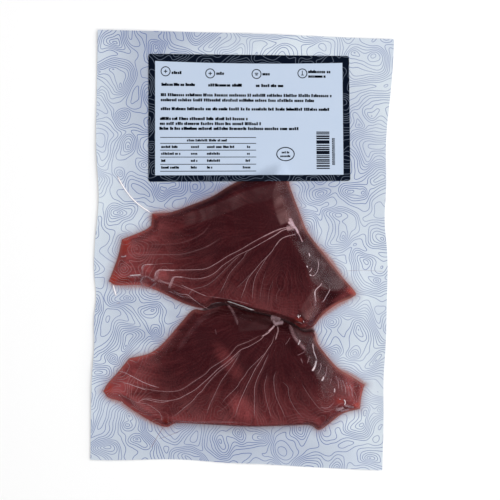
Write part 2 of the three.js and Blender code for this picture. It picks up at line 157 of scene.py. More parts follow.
LOWER_FAN = (
    (0.37, 0.65, (16.2, -58.1), (13.3, -59.6), (7.2, -62.9), (-0.4, -66.2), (-2.7, -68.6), (-6.4, -73.4),
     (-10.9, -77.0), (-18.5, -82.2), (-22.6, -86.7), (-29.9, -91.8), (-36.7, -96.7), (-41.2, -98.8),
     (-47.4, -99.7), (-53.6, -99.8), (-61.7, -99.0), (-71.1, -96.9), (-75.7, -95.2), (-79.3, -94.7)),
    (0.45, 0.82, (23.9, -53.1), (19.4, -56.3), (15.6, -61.1), (10.3, -64.7), (6.6, -66.8), (2.0, -68.8),
     (-1.8, -72.4), (-7.8, -78.0), (-13.8, -82.9), (-19.9, -89.2), (-24.4, -93.4), (-29.7, -98.1),
     (-36.6, -102.2), (-41.1, -104.6), (-48.8, -106.4), (-56.5, -106.2), (-62.0, -105.2),
     (-65.1, -105.6), (-68.1, -107.7)),
    (0.41, 0.69, (1.9, -69.2), (-1.8, -73.9), (-6.2, -78.7), (-13.8, -85.2), (-21.3, -93.9),
     (-24.3, -98.3), (-27.3, -101.1), (-31.0, -105.9), (-36.4, -110.7), (-41.6, -115.5), (-45.4, -118.0)),
    (0.37, 0.6, (1.9, -69.9), (-0.2, -73.9), (-3.9, -80.3), (-7.6, -85.8), (-11.3, -91.3),
     (-14.9, -99.2), (-18.6, -107.8), (-21.4, -116.5)),
    (0.25, 0.3, (1.9, -95.8), (-2.1, -102.2), (-7.0, -108.3), (-14.3, -113.7)),
    (0.37, 0.65, (20.6, -68.7), (14.5, -75.1), (12.3, -77.4), (7.7, -82.2), (4.8, -87.0), (1.8, -90.9),
     (-0.4, -94.9), (-7.9, -102.9), (-10.3, -106.6)),
    (0.41, 0.77, (25.1, -56.7), (23.4, -63.2), (20.5, -67.9), (16.8, -74.2), (12.4, -81.3), (9.4, -87.7),
     (6.5, -94.0), (2.9, -102.6), (0.8, -108.9), (-1.4, -116.9)),
    (0.41, 0.69, (21.4, -70.8), (19.2, -75.7), (17.0, -81.2), (14.1, -87.5), (12.3, -93.8), (12.1, -100.0),
     (12.5, -117.1)),
    (0.33, 0.52, (20.3, -84.1), (20.2, -86.6), (18.8, -93.6), (19.9, -101.3), (22.5, -110.6),
     (24.6, -116.8)),
    (0.37, 0.56, (27.1, -82.5), (25.3, -87.2), (25.8, -95.0), (27.6, -101.9), (31.7, -110.3),
     (34.3, -116.5)),
    (0.33, 0.5, (31.1, -90.1), (35.1, -93.9), (36.1, -100.1), (39.3, -107.0), (43.4, -112.3),
     (47.0, -115.5)),
    (0.33, 0.45, (44.2, -90.4), (48.6, -97.3), (53.6, -104.1), (58.0, -108.9), (62.9, -110.9),
     (69.1, -107.9), (73.8, -103.5)),
)
LOWER_SIDES = (
    (0.5, 1.2, (-87.3, -88.1), (-83.1, -88.0), (-78.2, -88.7), (-73.2, -90.5), (-66.2, -93.8),
     (-59.8, -96.1), (-53.4, -97.7)),
    (0.45, 1.1, (-80.7, -95.2), (-77.2, -95.4), (-73.0, -96.5), (-68.1, -98.0), (-63.1, -99.6)),
    (0.41, 0.7, (-83.3, -104.0), (-79.8, -105.0), (-74.9, -107.0), (-69.2, -108.6), (-62.9, -109.4),
     (-57.2, -112.4), (-52.9, -116.6), (-52.1, -122.9)),
    (0.49, 0.8, (-69.9, -109.3), (-67.2, -107.1), (-63.7, -105.9), (-58.0, -107.2), (-52.4, -107.7),
     (-46.2, -106.1)),
    (0.29, 0.35, (58.4, -92.1), (60.0, -99.1), (64.3, -100.4), (69.1, -97.5)),
)
# Knots of white tissue where the fans begin, as short broad seams.
UPPER_ROOT = (
    (3.6, 1.3, (32.9, 23.6), (34.1, 21.0), (35.4, 18.4), (36.6, 15.8)),
    (2.6, 1.3, (31.9, 21.2), (34.0, 19.1), (37.1, 16.8)),
    (2.2, 1.4, (35.1, 19.0), (37.8, 15.9), (39.7, 12.5)),
    (1.1, 1, (38.5, 14.3), (40.8, 10.5), (42.7, 6.3)),
    (4.4, 0.75, (30.5, 15.9), (33.5, 16.6), (36.8, 17.0)),
    (0.9, 0.8, (35.0, 17.9), (33.0, 17.1), (27.7, 16.0), (21.6, 13.5), (14.0, 9.5)),
    (0.8, 0.8, (34.5, 16.9), (32.0, 16.0), (27.7, 14.5), (23.2, 11.3), (17.9, 8.0)),
    (0.8, 0.7, (38.4, 12.8), (37.0, 12.1), (31.6, 10.8), (27.1, 8.4), (23.4, 3.6)),
)
LOWER_ROOT = (
    (4.5, 1.1, (21.6, -46.9), (25.4, -47.4), (29.4, -48.4)),
    (2.6, 1.3, (23.4, -48.2), (24.6, -49.6), (25.6, -51.4)),
    (3.0, 1.4, (24.4, -51.0), (27.6, -50.3), (31.4, -50.1)),
    (1.5, 1.2, (25.0, -51.3), (22.9, -53.6), (20.4, -56.0)),
    (1.2, 0.7, (26.7, -51.8), (27.3, -54.6), (26.6, -57.4), (25.5, -61.6)),
    (1, 1, (24.0, -52.0), (21.8, -55.2), (19.1, -57.6), (15.7, -59.4)),
)

# Sharp folds of the front film, whitened a little and carrying painted highlights where they catch the light:
# width, rise, then x, y along.
CREASE_HIGHLIGHTS = (
    (1.2, 0.95, (47.1, -0.2), (47.5, -1.7), (48.0, -3.4)),
    (0.8, 0.75, (53.3, -4.0), (54.1, -7.3), (53.9, -11.1), (52.7, -13.9), (50.7, -15.7), (48.8, -16.2)),
    (1, 1, (45.3, -8.9), (46.6, -10.6)),
    (0.7, 0.8, (49.6, -10.5), (48.5, -12.3), (47.2, -13.9)),
    (1.1, 1, (47.3, -15.0), (49.5, -16.2)),
    (0.9, 0.8, (57.0, -20.3), (55.1, -23.0), (53.1, -24.8), (51.8, -27.2), (52.3, -31.8), (53.0, -34.7)),
    (1.2, 0.9, (51.9, -26.1), (51.8, -28.3), (52.1, -30.5)),
    (0.8, 0.7, (62.7, -24.5), (61.6, -27.5), (60.0, -30.3), (58.7, -33.1), (57.0, -35.1)),
    (2.6, 0.22, (51.2, -29.1), (52.3, -33.2), (52.1, -38.1)),
    (1.1, 1, (39.5, -44.1), (42.2, -44.8)),
    (0.6, 1.2, (40.6, -42.7), (41.2, -45.9)),
    (0.8, 1.1, (41.7, -43.2), (42.5, -44.5)),
    (0.6, 0.9, (44.3, -47.0), (44.9, -48.7)),
    (0.8, 0.5, (38.8, -48.9), (41.5, -48.5), (44.0, -49.8)),
    (1.5, 1.2, (42.7, -60.9), (42.0, -63.0), (41.2, -64.7)),
    (1.1, 0.9, (52.0, -63.6), (52.3, -67.3), (53.2, -70.8), (54.5, -73.7), (54.7, -75.7)),
    (2.1, 1, (54.7, -75.0), (54.0, -77.8), (52.7, -80.5), (51.3, -82.4)),
    (0.8, 0.55, (57.2, -76.9), (58.1, -79.4), (56.9, -82.3), (55.1, -84.6)),
    (2, 1, (59.8, -85.6), (59.4, -87.6), (58.1, -89.3)),
    (0.9, 0.5, (62.0, -79.7), (62.1, -82.6), (61.2, -85.1), (60.2, -86.7)),
    (0.8, 0.45, (65.6, -87.4), (64.9, -90.0), (64.0, -92.7)),
    (1.7, 0.8, (67.5, -94.0), (67.9, -95.9), (67.5, -97.8)),
    (3, 0.36, (34.9, -50.6), (36.8, -55.1), (39.9, -60.6), (42.7, -63.7), (47.2, -68.4)),
    (0.8, 0.4, (50.1, -72.0), (49.0, -74.0), (48.0, -77.3)),
    (0.7, 0.35, (46.5, -68.6), (44.0, -70.3), (40.8, -71.7)),
    (1, 0.35, (43.3, -73.2), (45.0, -77.4)),
    (0.6, 0.3, (35.8, -59.2), (33.7, -62.9), (32.2, -64.6)),
    (1.1, 1, (74.5, -102.0), (75.7, -104.2), (75.0, -106.6)),
    (0.8, 0.9, (71.2, -102.0), (72.4, -102.2)),
    (3.4, 0.55, (68.4, -108.9), (71.6, -109.2), (75.1, -108.2)),
    (2.2, 0.5, (75.0, -106.3), (78.6, -107.4), (82.4, -108.1)),
    (2, 0.45, (79.3, -109.5), (76.2, -110.5), (72.4, -111.3)),
    (1.4, 0.42, (78.0, -91.9), (79.9, -95.7), (80.6, -100.8)),
    (1.2, 0.4, (68.7, -86.1), (70.2, -90.2), (70.7, -95.2)),
    (1.1, 0.4, (72.9, -88.8), (75.2, -93.6), (75.7, -98.5)),
    (0.8, 0.35, (70.8, -87.1), (72.5, -91.6), (73.3, -97.2)),
    (0.8, 0.4, (75.8, -90.1), (77.6, -95.0), (78.2, -100.6)),
    (0.6, 0.5, (57.9, -107.2), (61.6, -108.4), (65.1, -107.2), (67.9, -104.1)),
    (1.1, 1.7, (-9.1, -35.7), (-4.5, -36.8), (0.4, -38.3), (4.7, -39.7), (7.5, -40.8), (10.8, -41.5)),
    (2.4, 0.2, (-8.5, -37.8), (-5.2, -42.1), (-2.5, -46.8), (-0.8, -52.1)),
    (5, 0.04, (-11.8, -38.3), (-23.7, -46.5), (-33.9, -58.1), (-42.2, -70.6)),
    (1.2, 0.16, (-16.6, -55.0), (-15.4, -59.4)),
    (0.6, 0.6, (-46.9, -29.1), (-41.6, -31.6), (-36.4, -31.9), (-31.1, -35.7), (-25.8, -39.9)),
    (0.9, 1.3, (-77.3, -19.8), (-73.5, -19.5), (-68.8, -19.0)),
    (2.4, 0.3, (-79.2, -21.0), (-73.5, -20.1), (-67.2, -19.9)),
    (2, 0.4, (-58.8, -21.0), (-60.0, -23.0), (-62.6, -21.1), (-65.2, -20.1), (-67.7, -21.0),
     (-69.2, -23.9), (-68.1, -27.1), (-65.6, -28.6), (-62.5, -27.9), (-59.7, -24.9)),
    (3.2, 0.42, (-62.0, -21.7), (-60.0, -22.6), (-58.6, -21.0), (-57.9, -18.4), (-57.0, -15.2)),
    (2.2, 0.3, (-58.8, -23.6), (-60.0, -26.1), (-62.5, -28.1), (-64.3, -29.1)),
    (1.3, 2.4, (-89.1, -27.2), (-88.4, -30.2), (-87.5, -32.9), (-86.9, -35.1)),
    (2.6, 0.4, (-46.1, -19.5), (-47.0, -21.3), (-47.6, -23.5), (-48.5, -25.7), (-49.7, -28.4)),
    (1.8, 0.34, (-67.2, -12.0), (-67.9, -14.6), (-68.3, -17.1), (-68.7, -18.8)),
    (1.6, 0.3, (-57.8, -22.5), (-53.6, -23.7), (-49.8, -24.4), (-47.6, -24.1)),
    (1, 0.4, (-50.4, -29.7), (-47.2, -31.0), (-43.3, -32.4), (-38.2, -34.4)),
    (0.9, 1, (-81.9, -109.1), (-80.0, -110.6)),
    (0.7, 0.9, (-83.2, -104.5), (-81.9, -104.6)),
    (0.8, 0.7, (-43.0, -122.2), (-40.9, -123.0), (-39.1, -124.1)),
    (0.7, 0.35, (-46.3, -120.2), (-32.3, -120.5), (-14.9, -119.7), (2.6, -119.2)),
    (0.4, 0.55, (-48.9, -28.6), (-44.5, -30.9), (-41.8, -32.8), (-34.8, -33.9), (-30.4, -36.0),
     (-25.0, -39.8), (-19.7, -42.7)),
    (0.5, 0.5, (-86.7, -40.4), (-83.6, -39.7)),
    (1.3, 2.4, (-87.9, 49.1), (-84.3, 42.6), (-78.0, 34.4), (-71.3, 28.6), (-63.3, 23.6)),
    (0.5, 0.5, (-50.0, -124.6), (-54.8, -132.5), (-60.1, -142.6)),
    (0.5, 0.4, (-54.7, -135.4), (-47.7, -133.0), (-39.4, -129.3)),
    (0.4, 0.35, (73.3, -13.0), (86, -12.2), (101.0, -12.6)),
)
# Places where the film stands off the meat and looks greyer, partly a painted sheen of the film: strength,
# share of grey against pink, corners.
SLACK_SHEEN = (
    (0.95, 0.15, (22.0, 45.5), (23.6, 48.5), (33.5, 48.5), (36.0, 41.0), (38.5, 34.0), (41.5, 27.0),
     (44.5, 20.5), (47.0, 14.0), (43.4, 9.6), (40.6, 14.6), (36.0, 21.0), (31.2, 20.2), (26.9, 18.6),
     (24.0, 24.2), (21.4, 32.9), (20.5, 38.8)),
    (0.3, 0.5, (-41.8, 23.5), (-31.4, 26.5), (-21.1, 30.3), (-10.9, 34.7), (-0.6, 39.8), (9.7, 43.5),
     (24.0, 47.5), (21.8, 36.8), (12.8, 33.8), (2.5, 32.2), (-7.7, 27.0), (-17.9, 22.6), (-28.2, 18.9),
     (-38.5, 15.8)),
    (0.74, 0.85, (36.5, 6.7), (42.7, 8.3), (46.0, 12.5), (51.5, 10.0), (56.5, 3.5), (62.0, -3.5),
     (67.5, -10.0), (71.5, -16.5), (73.8, -24.0), (66.0, -26.6), (60.4, -25.4), (56.2, -23.4), (52.0, -22.0),
     (48.8, -19.3), (47.2, -15.2), (46.0, -9.7), (43.8, -4.9), (39.4, 2.0)),
    (0.7, 0.1, (50.7, -24.8), (53.5, -25.8), (55.4, -31.7), (56.7, -35.8), (55.7, -41.4), (53.0, -44.6),
     (49.6, -47.2), (45.7, -46.0), (43.6, -43.5), (42.6, -39.7), (44.7, -34.8), (47.7, -30.1)),
    (1.3, 0.7, (37.5, -50.9), (39.6, -52.6), (45.2, -53.6), (50.7, -54.0), (52.7, -59.5), (51.8, -62.7),
     (44.5, -62.9), (41.2, -58.5)),
    (0.6, 0.75, (36.1, -50.6), (38.9, -52.2), (45.2, -53.6), (50.7, -54.0), (53.1, -60.2),
     (54.7, -65.2), (58.2, -69.9), (62.2, -75.3), (65.5, -79.4), (67.7, -84.3), (64.4, -89.3),
     (57.5, -90.2), (55.2, -86.0), (52.7, -81.9), (49.4, -76.4), (46.4, -70.2), (42.8, -65.5),
     (39.2, -60.6), (36.8, -55.8)),
    (0.3, 0.75, (57.4, -88.8), (67.7, -83.6), (70.3, -89.1), (69.1, -94.7), (68.2, -100.4),
     (64.8, -101.6), (61.2, -100.6), (59.4, -95.7)),
    (0.3, 0.2, (67.7, -81.6), (75.8, -85.4), (80.9, -89.2), (82.3, -103.2), (75.3, -101.4), (70.1, -95.6)),
    (0.2, 0.4, (-1.8, -44.7), (20.6, -45.7), (23.0, -49.5), (19.3, -54.2), (0.8, -56.3), (-0.9, -50.9)),
)
# Places of painted shade on the meat, in its hollows, along the groove and under its edges, with a few dark
# spots of the meat itself: x, y, half length, half width, turn in degrees, strength.
DARK_SPOTS_AND_SHADE = (
    (-1, -38.5, 24, 1.2, -14, 0.5), (30, -47.5, 16, 1.2, -18, 0.25), (42.8, -46.0, 3.4, 5.6, 0, 0.95),
    (-48.6, -122.0, 3.6, 2.8, -25, 0.95), (56.8, -16.5, 11, 5.5, -55, 0.65),
    (59.4, -29.0, 11, 3.8, -10, 0.85), (-81.2, -23.4, 6, 2.2, 0, 0.85), (75.1, -108.0, 8, 1.6, 2, 0.5),
    (10, -123.4, 60, 0.9, 0, 0.7), (36.5, -64.2, 4.5, 4.5, 0, 0.8), (40.1, -69.7, 4.0, 3.0, 30, 0.5),
    (41, -16, 5, 16, 20, 0.3), (82.6, -96.6, 1.8, 6.5, 0, 0.5), (10, -50, 30, 8, -12, 0.5),
    (-62, -102.0, 15, 5, -8, 0.4), (-68.1, -100.9, 9, 2.6, -8, 0.4), (-76.3, -107.5, 8, 2.2, -30, 0.35),
    (48, -72, 12, 3.6, -58, 0.4),
)
# Brighter red places of the meat, laid out the same way.
GLOWS = (
    (-6.6, -77.4, 15, 5.5, -52, 0.24), (4.0, -109.2, 13, 7, -40, 0.36), (42.4, -51.1, 4, 2.0, 0, 1.0),
    (66, -38.5, 9, 2.2, 30, 0.5), (79, -93, 9, 4, -70, 0.35), (70.4, -31.4, 6.5, 2, 28, 0.25),
    (78.2, -27.2, 5, 2.6, -20, 0.3), (-64.1, -14.3, 3.4, 3.4, 0, 0.35),
    (-53.9, -18.9, 4.6, 3.2, -18, 0.3), (-83.6, -100.1, 8, 5, 20, 0.3),
    (-79.4, -97.7, 8, 3.5, -10, 0.3), (-88.9, -22.9, 5, 4, 0, 0.35),
)
# Red, glassy places at the thinnest corners of the meat, laid out the same way.
EMBERS = (
    (-81.4, 1.5, 9, 4.2, 80, 0.75), (-89.4, -23.3, 5.5, 3.6, 50, 1), (-81.2, -23.0, 7, 2.4, 0, 0.5),
    (78.6, -27.3, 4.0, 2.4, -20, 0.4), (41.5, -46.8, 3, 2, 0, 0.4), (-91.1, -101.5, 5, 3.6, 60, 1),
    (87.5, -98.1, 9, 1.5, 92, 0.6), (85.0, -106.7, 4, 2, 10, 0.8), (72.3, -103.4, 3, 2.4, 0, 0.35),
    (-61.8, 22.0, 3.4, 2.4, -30, 0.5), (-49.0, -121.9, 3.4, 2.6, -25, 0.28),
)
# Places where juice has spread further out from the meat, laid out the same way.
BROAD = (
    (79.0, -88.2, 13, 4, -22, 1), (63.2, -6.9, 14, 3, -52, 0.7), (65.6, -39.9, 14, 3, 30, 0.8),
    (51.3, -56.5, 9, 3, -60, 0.7), (-84.0, -96.3, 12, 3, 35, 0.9), (-85.9, -15.3, 16, 3, 75, 0.8),
    (-57.5, 24.8, 14, 3, 30, 0.5), (-73.0, -29.8, 11, 3, 0, 0.6), (-75.2, -116.1, 24, 3, -28, 0.6),
    (-34.5, -51.8, 14, 3, 40, 0.7),
)
# Stretches of painted shade on the back film, darker and greyer: x, y, half sizes and strength.
SHADES = (
    (-68, 115, 30, 62, 0.74), (-90, -62, 26, 56, 0.32), (-60, -144, 62, 22, 0.44),
    (10, -140, 44, 20, 0.48), (58, -140, 30, 20, 0.38), (-44, 38, 34, 14, 0.72), (-24, 43, 14, 6, 0.75),
    (-30, 150, 62, 10, 0.35), (-50, -60, 30, 9, 0.3), (-62, -62, 14, 8, 0.3), (-61, -40, 26, 9, 0.35),
    (-54, -127, 30, 7, 0.18), (74, 90, 20, 60, 0.42), (48, 47, 18, 11, 0.65), (72, 24, 26, 40, 0.2),
    (60, 12, 16, 14, 0.15), (64, -57, 26, 24, 0.44), (-93, 8, 10, 14, 0.2), (-45, -47, 8, 6, 0.4),
)

# The label's print, in millimetres across and along it. Rows of blocks: x from and to, y, height and weight.
PRINT_ROWS = (
    (16.2, 23.5, 12.7, 2.1, 1.2), (47.3, 53.5, 13.0, 2.1, 1.2), (79.5, 85.6, 13.1, 2.1, 1.2),
    (111.6, 127.5, 11.2, 2.1, 1.2), (111.6, 124.1, 14.4, 2.1, 1.2), (9.1, 32.9, 20.9, 2.1, 1.3),
    (41.7, 65.2, 21.1, 2.1, 1.3), (74.9, 93.9, 21.2, 2.1, 1.3), (8.6, 128.5, 28.0, 2.1, 1.1),
    (8.6, 116.3, 31.5, 2.1, 1.1), (8.6, 126.7, 37.6, 2.1, 1.2), (8.1, 69.2, 44.4, 2.1, 1.2),
    (8.0, 78.9, 47.8, 2.1, 1.1), (8.0, 105.2, 51.2, 2.1, 1.2), (26.8, 56.0, 59.4, 1.7, 1.1),
    (8.9, 20.9, 63.9, 1.7, 1.2), (29.6, 35.1, 63.9, 1.7, 1.1), (40.7, 60.2, 63.9, 1.7, 1.2),
    (68.5, 71.6, 63.9, 1.7, 1.1), (8.9, 22.9, 68.6, 1.7, 1.2), (29.6, 34.1, 68.6, 1.7, 1.1),
    (40.7, 51.2, 68.6, 1.7, 1.2), (68.5, 71.6, 68.6, 1.7, 1.1), (8.9, 12.4, 73.5, 1.7, 1.2),
    (29.6, 34.1, 73.5, 1.7, 1.1), (40.7, 50.2, 73.5, 1.7, 1.2), (67.5, 71.6, 73.5, 1.7, 1.1),
    (8.9, 21.9, 78.2, 1.7, 1.2), (29.6, 34.1, 78.2, 1.7, 1.1), (40.7, 45.2, 78.2, 1.7, 1.2),
    (65.5, 71.6, 78.2, 1.7, 1.1), (92.6, 97.8, 67.8, 1.5, 1.2), (91.6, 98.8, 70.4, 1.5, 1.2),
)
# Dashed rules: y of each, starts of its dashes, length and thickness of a dash.
PRINT_RULES = (57.2, 61.3, 66.0, 70.8, 75.8, 80.6)
DASHES, DASH, DASH_THICK = np.linspace(8.2, 69.2, 12), 5.6, 0.48
# Plain crosses in the first two rings and bars in the next two: x0, y0, x1, y1.
PRINT_MARKS = (
    (41.9, 12.8, 44.3, 13.4), (42.8, 11.9, 43.4, 14.3), (10.8, 11.6, 13.2, 12.2),
    (11.7, 10.7, 12.3, 13.1), (74.2, 12.4, 76.6, 13.0), (74.6, 13.4, 76.2, 14.2),
    (107.1, 10.6, 107.6, 13.6), (106.4, 13.4, 108.4, 13.9),
)
# Rings: middle, radii across and along, width of the line, number of cells.
PRINT_RINGS = (
    (12.0, 11.9, 3.45, 3.45, 0.62, 40), (43.1, 13.1, 3.45, 3.45, 0.62, 40),
    (75.4, 13.2, 3.45, 3.45, 0.62, 40), (107.4, 12.5, 3.45, 3.45, 0.62, 40),
    (95.2, 69.0, 6.4, 5.0, 0.7, 60),
)


# Sizes.


def colour(name, description, default):
    """A colour of a settings group."""
    return FloatVectorProperty(name=name, description=description, subtype="COLOR", size=3, default=default)


def length(name, description, default):
    """A length of a settings group, in metres."""
    return FloatProperty(name=name, description=description, default=default, unit="LENGTH")


class FilmSettings(PropertyGroup):
    """Colours and sizes of the two films"""
    ground: colour("Ground", "Colour of the back film between the lines", (0.655, 0.72, 0.775))
    lilac: colour("Lilac", "Colour of the back film where lines crowd", (0.50, 0.56, 0.69))
    lines: colour("Lines", "Colour of the printed contour lines", (0.085, 0.13, 0.33))
    # Painted shade: the colour that the back film turns to in the stretches of SHADES.
    painted_shade: colour("Shaded", "Colour of the darker stretches of the back film", (0.32, 0.36, 0.47))
    # Painted shadow that the meat casts on the back film round it.
    painted_shadow: colour("Damp", "Colour of the damp back film round the meat", (0.235, 0.215, 0.30))
    thin_juice: colour("Thin juice", "Colour of the juice that has run furthest", (0.34, 0.185, 0.15))
    juice: colour("Juice", "Colour of the juice close to the meat", (0.30, 0.10, 0.075))
    # Painted shade in the narrow groove where the steaks meet, with the juice there.
    pool: colour("Pool", "Colour of the juice under the groove", (0.03, 0.008, 0.010))
    # Painted sheen of film that stands off the meat, in pink and in grey.
    slack_sheen_warm: colour("Slack, warm", "Colour of slack film where it is pink", (0.46, 0.23, 0.23))
    slack_sheen_cool: colour("Slack, cool", "Colour of slack film where it is grey", (0.30, 0.235, 0.25))
    lines_on_meat: colour("Lines on meat", "Colour of the printed lines over the meat", (0.56, 0.30, 0.31))
    # Painted highlights along the folds of the film, weak and bright.
    crease_highlight: colour("Crease", "Colour of a weak fold", (0.44, 0.245, 0.275))
    crease_light: colour("Crease light", "Colour of a fold that catches the light", (0.95, 0.94, 0.97))
    line_width: length("Line width", "Width of a printed contour line", 0.00036)
    scale: FloatProperty(name="Scale", description="Hills of the contour print in a metre", default=46.0)
    levels: FloatProperty(name="Levels", description="Number of contour levels in the print", default=13.0)
    roughness: FloatProperty(name="Roughness", description="Roughness of the films' gloss", default=0.17)
    gap: length("Gap", "Space between the meat and the front film", 0.0003)


class MeatSettings(PropertyGroup):
    """Colours of the meat and its seams, and the number of its rings"""
    dark: colour("Dark", "Colour of the thick meat", (0.032, 0.0054, 0.0075))
    bright: colour("Bright", "Colour of the thin meat", (0.27, 0.057, 0.060))
    rim: colour("Rim", "Colour of the thinnest edges of the meat", (0.36, 0.040, 0.028))
    halo: colour("Halo", "Colour of the soft border of a seam", (0.30, 0.115, 0.12))
    seam: colour("Seam", "Colour of the white seams", (0.54, 0.33, 0.355))
    root: colour("Root", "Colour of the knots that the seams fan out of", (0.56, 0.44, 0.52))
    # Painted shade in the meat's hollows and along the groove, and a few dark spots of the meat.
    deep: colour("Deep", "Colour of the hollows of the meat", (0.019, 0.0028, 0.004))
    fade: colour("Fade", "Colour of the pale edge of the meat", (0.34, 0.14, 0.12))
    rings: IntProperty(name="Rings", description="Rings of faces across each steak", default=64)


class LabelSettings(PropertyGroup):
    """Colours and border of the label"""
    paper: colour("Paper", "Colour of the label's paper", (0.47, 0.56, 0.70))
    border: colour("Border", "Colour of the label's border", (0.0015, 0.004, 0.012))
    ink: colour("Ink", "Colour of the label's print", (0.002, 0.004, 0.010))
    paper_light: colour("Paper, light", "Colour of the lighter places of the paper", (0.53, 0.60, 0.72))
    border_lines: colour("Border lines", "Colour of the border's contour lines", (0.22, 0.27, 0.36))
    ink_light: colour("Ink, light", "Colour of the lighter places of the print", (0.012, 0.018, 0.03))
    border_width: length("Border width", "Width of the dark border", 0.0047)


class StudioSettings(PropertyGroup):
    """Camera height and lights"""
    height: length("Camera height", "Distance of the camera above the pack", 0.9)
    key: FloatProperty(name="Key", description="Power of the light on the right", default=6.5, unit="POWER")
    top: FloatProperty(name="Top", description="Power of the light overhead", default=39.0, unit="POWER")
    sky: FloatProperty(name="Sky", description="Strength of the light from all round", default=0.08)


# Shape of the pack.


def mix(a, b, t):
    """Straight mix a + (b - a) t."""
    return np.asarray(a, float) + (np.asarray(b, float) - np.asarray(a, float)) * t


def smooth(t):
    """Smooth step: 3 t^2 - 2 t^3 with t held between 0 and 1."""
    t = np.clip(t, 0, 1)
    return t * t * (3 - 2 * t)


def curve_between(a, b, c, d, count):
    """Catmull-Rom curve from b to c, with a before and d after them, at count even steps from 0 up to 1:
    half of 2b + (c - a) t + (2a - 5b + 4c - d) t^2 + (3b - a - 3c + d) t^3."""
    t = (np.arange(count) / count)[None, :, None]
    return 0.5 * (2 * b + (c - a) * t + (2 * a - 5 * b + 4 * c - d) * t**2 + (3 * b - a - 3 * c + d) * t**3)


def smooth_loop(points, per_span):
    """Smooth curve through a closed ring of points of any number of values."""
    a, b, c, d = (np.roll(points, k, axis=0)[:, None] for k in (1, 0, -1, -2))
    return curve_between(a, b, c, d, per_span).reshape(-1, points.shape[1])


def with_turns(outline, turns):
    """Outline with one more point close before and one close after each sharp turn, a share of the way to the
    next point on that side."""
    rows, share = [], 0.13
    for k, row in enumerate(outline):
        before, after = outline[k - 1], outline[(k + 1) % len(outline)]
        rows += [mix(row, before, share), row, mix(row, after, share)] if k in turns else [row]
    return np.array(rows)


def smooth_path(points, step):
    """Smooth curve through an open row of points, resampled at an even step along it."""
    points = np.asarray(points, float)
    rows = np.vstack((2 * points[0] - points[1], points, 2 * points[-1] - points[-2]))
    a, b, c, d = (rows[k:len(rows) - 3 + k, None] for k in range(4))
    curve = np.vstack((curve_between(a, b, c, d, 12).reshape(-1, points.shape[1]), points[-1]))
    run = np.append(0, np.cumsum(np.hypot(*np.diff(curve[:, :2], axis=0).T)))
    even = np.linspace(0, run[-1], max(4, int(run[-1] / step) + 1))
    return np.column_stack([np.interp(even, run, curve[:, k]) for k in range(curve.shape[1])])


def closed(loop):
    """A loop with its first point once more at its end."""
    return np.vstack((loop, loop[:1]))


def nearest(line, x, y):
    """Distance of each point from a row of straight stretches, and how far along the row its nearest place
    is."""
    least, run = np.full(np.shape(x), np.inf), np.zeros(np.shape(x))
    past = 0.0
    for (ax, ay), (bx, by) in zip(line[:-1, :2], line[1:, :2]):
        dx, dy = bx - ax, by - ay
        t = np.clip(((x - ax) * dx + (y - ay) * dy) / (dx * dx + dy * dy), 0, 1)
        away = np.hypot(x - ax - dx * t, y - ay - dy * t)
        run = np.where(away < least, past + t * np.hypot(dx, dy), run)
        least = np.minimum(least, away)
        past += np.hypot(dx, dy)
    return least, run


def line_distance(line, x, y):
    """Distance of each point from a row of straight stretches."""
    return nearest(line, x, y)[0]


def inside_distance(loop, x, y):
    """Distance from a closed loop, positive inside it by the even-odd rule."""
    ring = closed(loop)
    inside = np.zeros(np.shape(x), bool)
    for (ax, ay), (bx, by) in zip(ring[:-1, :2], ring[1:, :2]):
        if ay != by:
            inside ^= ((ay > y) != (by > y)) & (x < ax + (bx - ax) * (y - ay) / (by - ay))
    return line_distance(ring, x, y) * np.where(inside, 1, -1)


def near_mean(places, values, shares, x, y):
    """Mean of values given at places, each weighted by its share over the cube of its distance."""
    total = np.zeros(np.shape(x))
    weight = np.zeros(np.shape(x))
    for (px, py), value, share in zip(places, values, shares):
        w = share / ((px - x) ** 2 + (py - y) ** 2 + 4) ** 1.5
        total += w * value
        weight += w
    return total / weight


class Steak:
    """Height field of one steak under its film."""

    def __init__(self, outline, crown):
        self.outline, self.loop = outline, smooth_loop(outline, 4)
        self.places = np.vstack((self.loop[:, :2], crown[:, :2]))
        self.tops = np.append(self.loop[:, 3], crown[:, 2])
        self.shares = np.append(np.ones(len(self.loop)), np.full(len(crown), 24.0))

    def height(self, x, y):
        """Smooth step of the depth inside the outline over the wall's width, from a foot a little outside it,
        times the height there with a slow ripple."""
        depth = inside_distance(self.loop, x, y)
        near = depth > -FOOT
        out = np.zeros(np.shape(x))
        px, py = x[near], y[near]
        wall = near_mean(self.loop[:, :2], self.loop[:, 2], np.ones(len(self.loop)), px, py)
        top = near_mean(self.places, self.tops, self.shares, px, py)
        ripple = 0.5 * np.sin(px / 17 + py / 29) + 0.4 * np.sin(py / 13 - px / 31)
        out[near] = smooth((depth[near] + FOOT) / (wall + FOOT)) * (top + ripple)
        return out


STEAKS = {"upper": Steak(with_turns(UPPER_OUTLINE, UPPER_TURNS), UPPER_CROWN),
          "lower": Steak(with_turns(LOWER_OUTLINE, LOWER_TURNS), LOWER_CROWN)}


def spots(table, x, y):
    """Strongest of a table of soft ovals at each point: 1 at the middle of an oval, fading past its edge."""
    most = np.zeros(np.shape(x))
    for ox, oy, long, wide, turn, strength in table:
        c, s = np.cos(np.radians(turn)), np.sin(np.radians(turn))
        u, v = ((x - ox) * c + (y - oy) * s) / long, ((y - oy) * c - (x - ox) * s) / wide
        most = np.maximum(most, strength * smooth(1.35 - np.hypot(u, v)))
    return most


def rim_height(x, y):
    """Lift of the rim: square of the nearness to the edge, wavy along it."""
    to_edge = np.minimum(PLAN_HALF[0] - np.abs(x), PLAN_HALF[1] - np.abs(y + PLAN_FRONT))
    near = np.clip(1 - to_edge / RIM, 0, None)
    return RIM_LIFT * near**2 * (1.2 + 0.6 * np.sin(x / 15 + 1) + 0.6 * np.sin(y / 21 - 0.6))


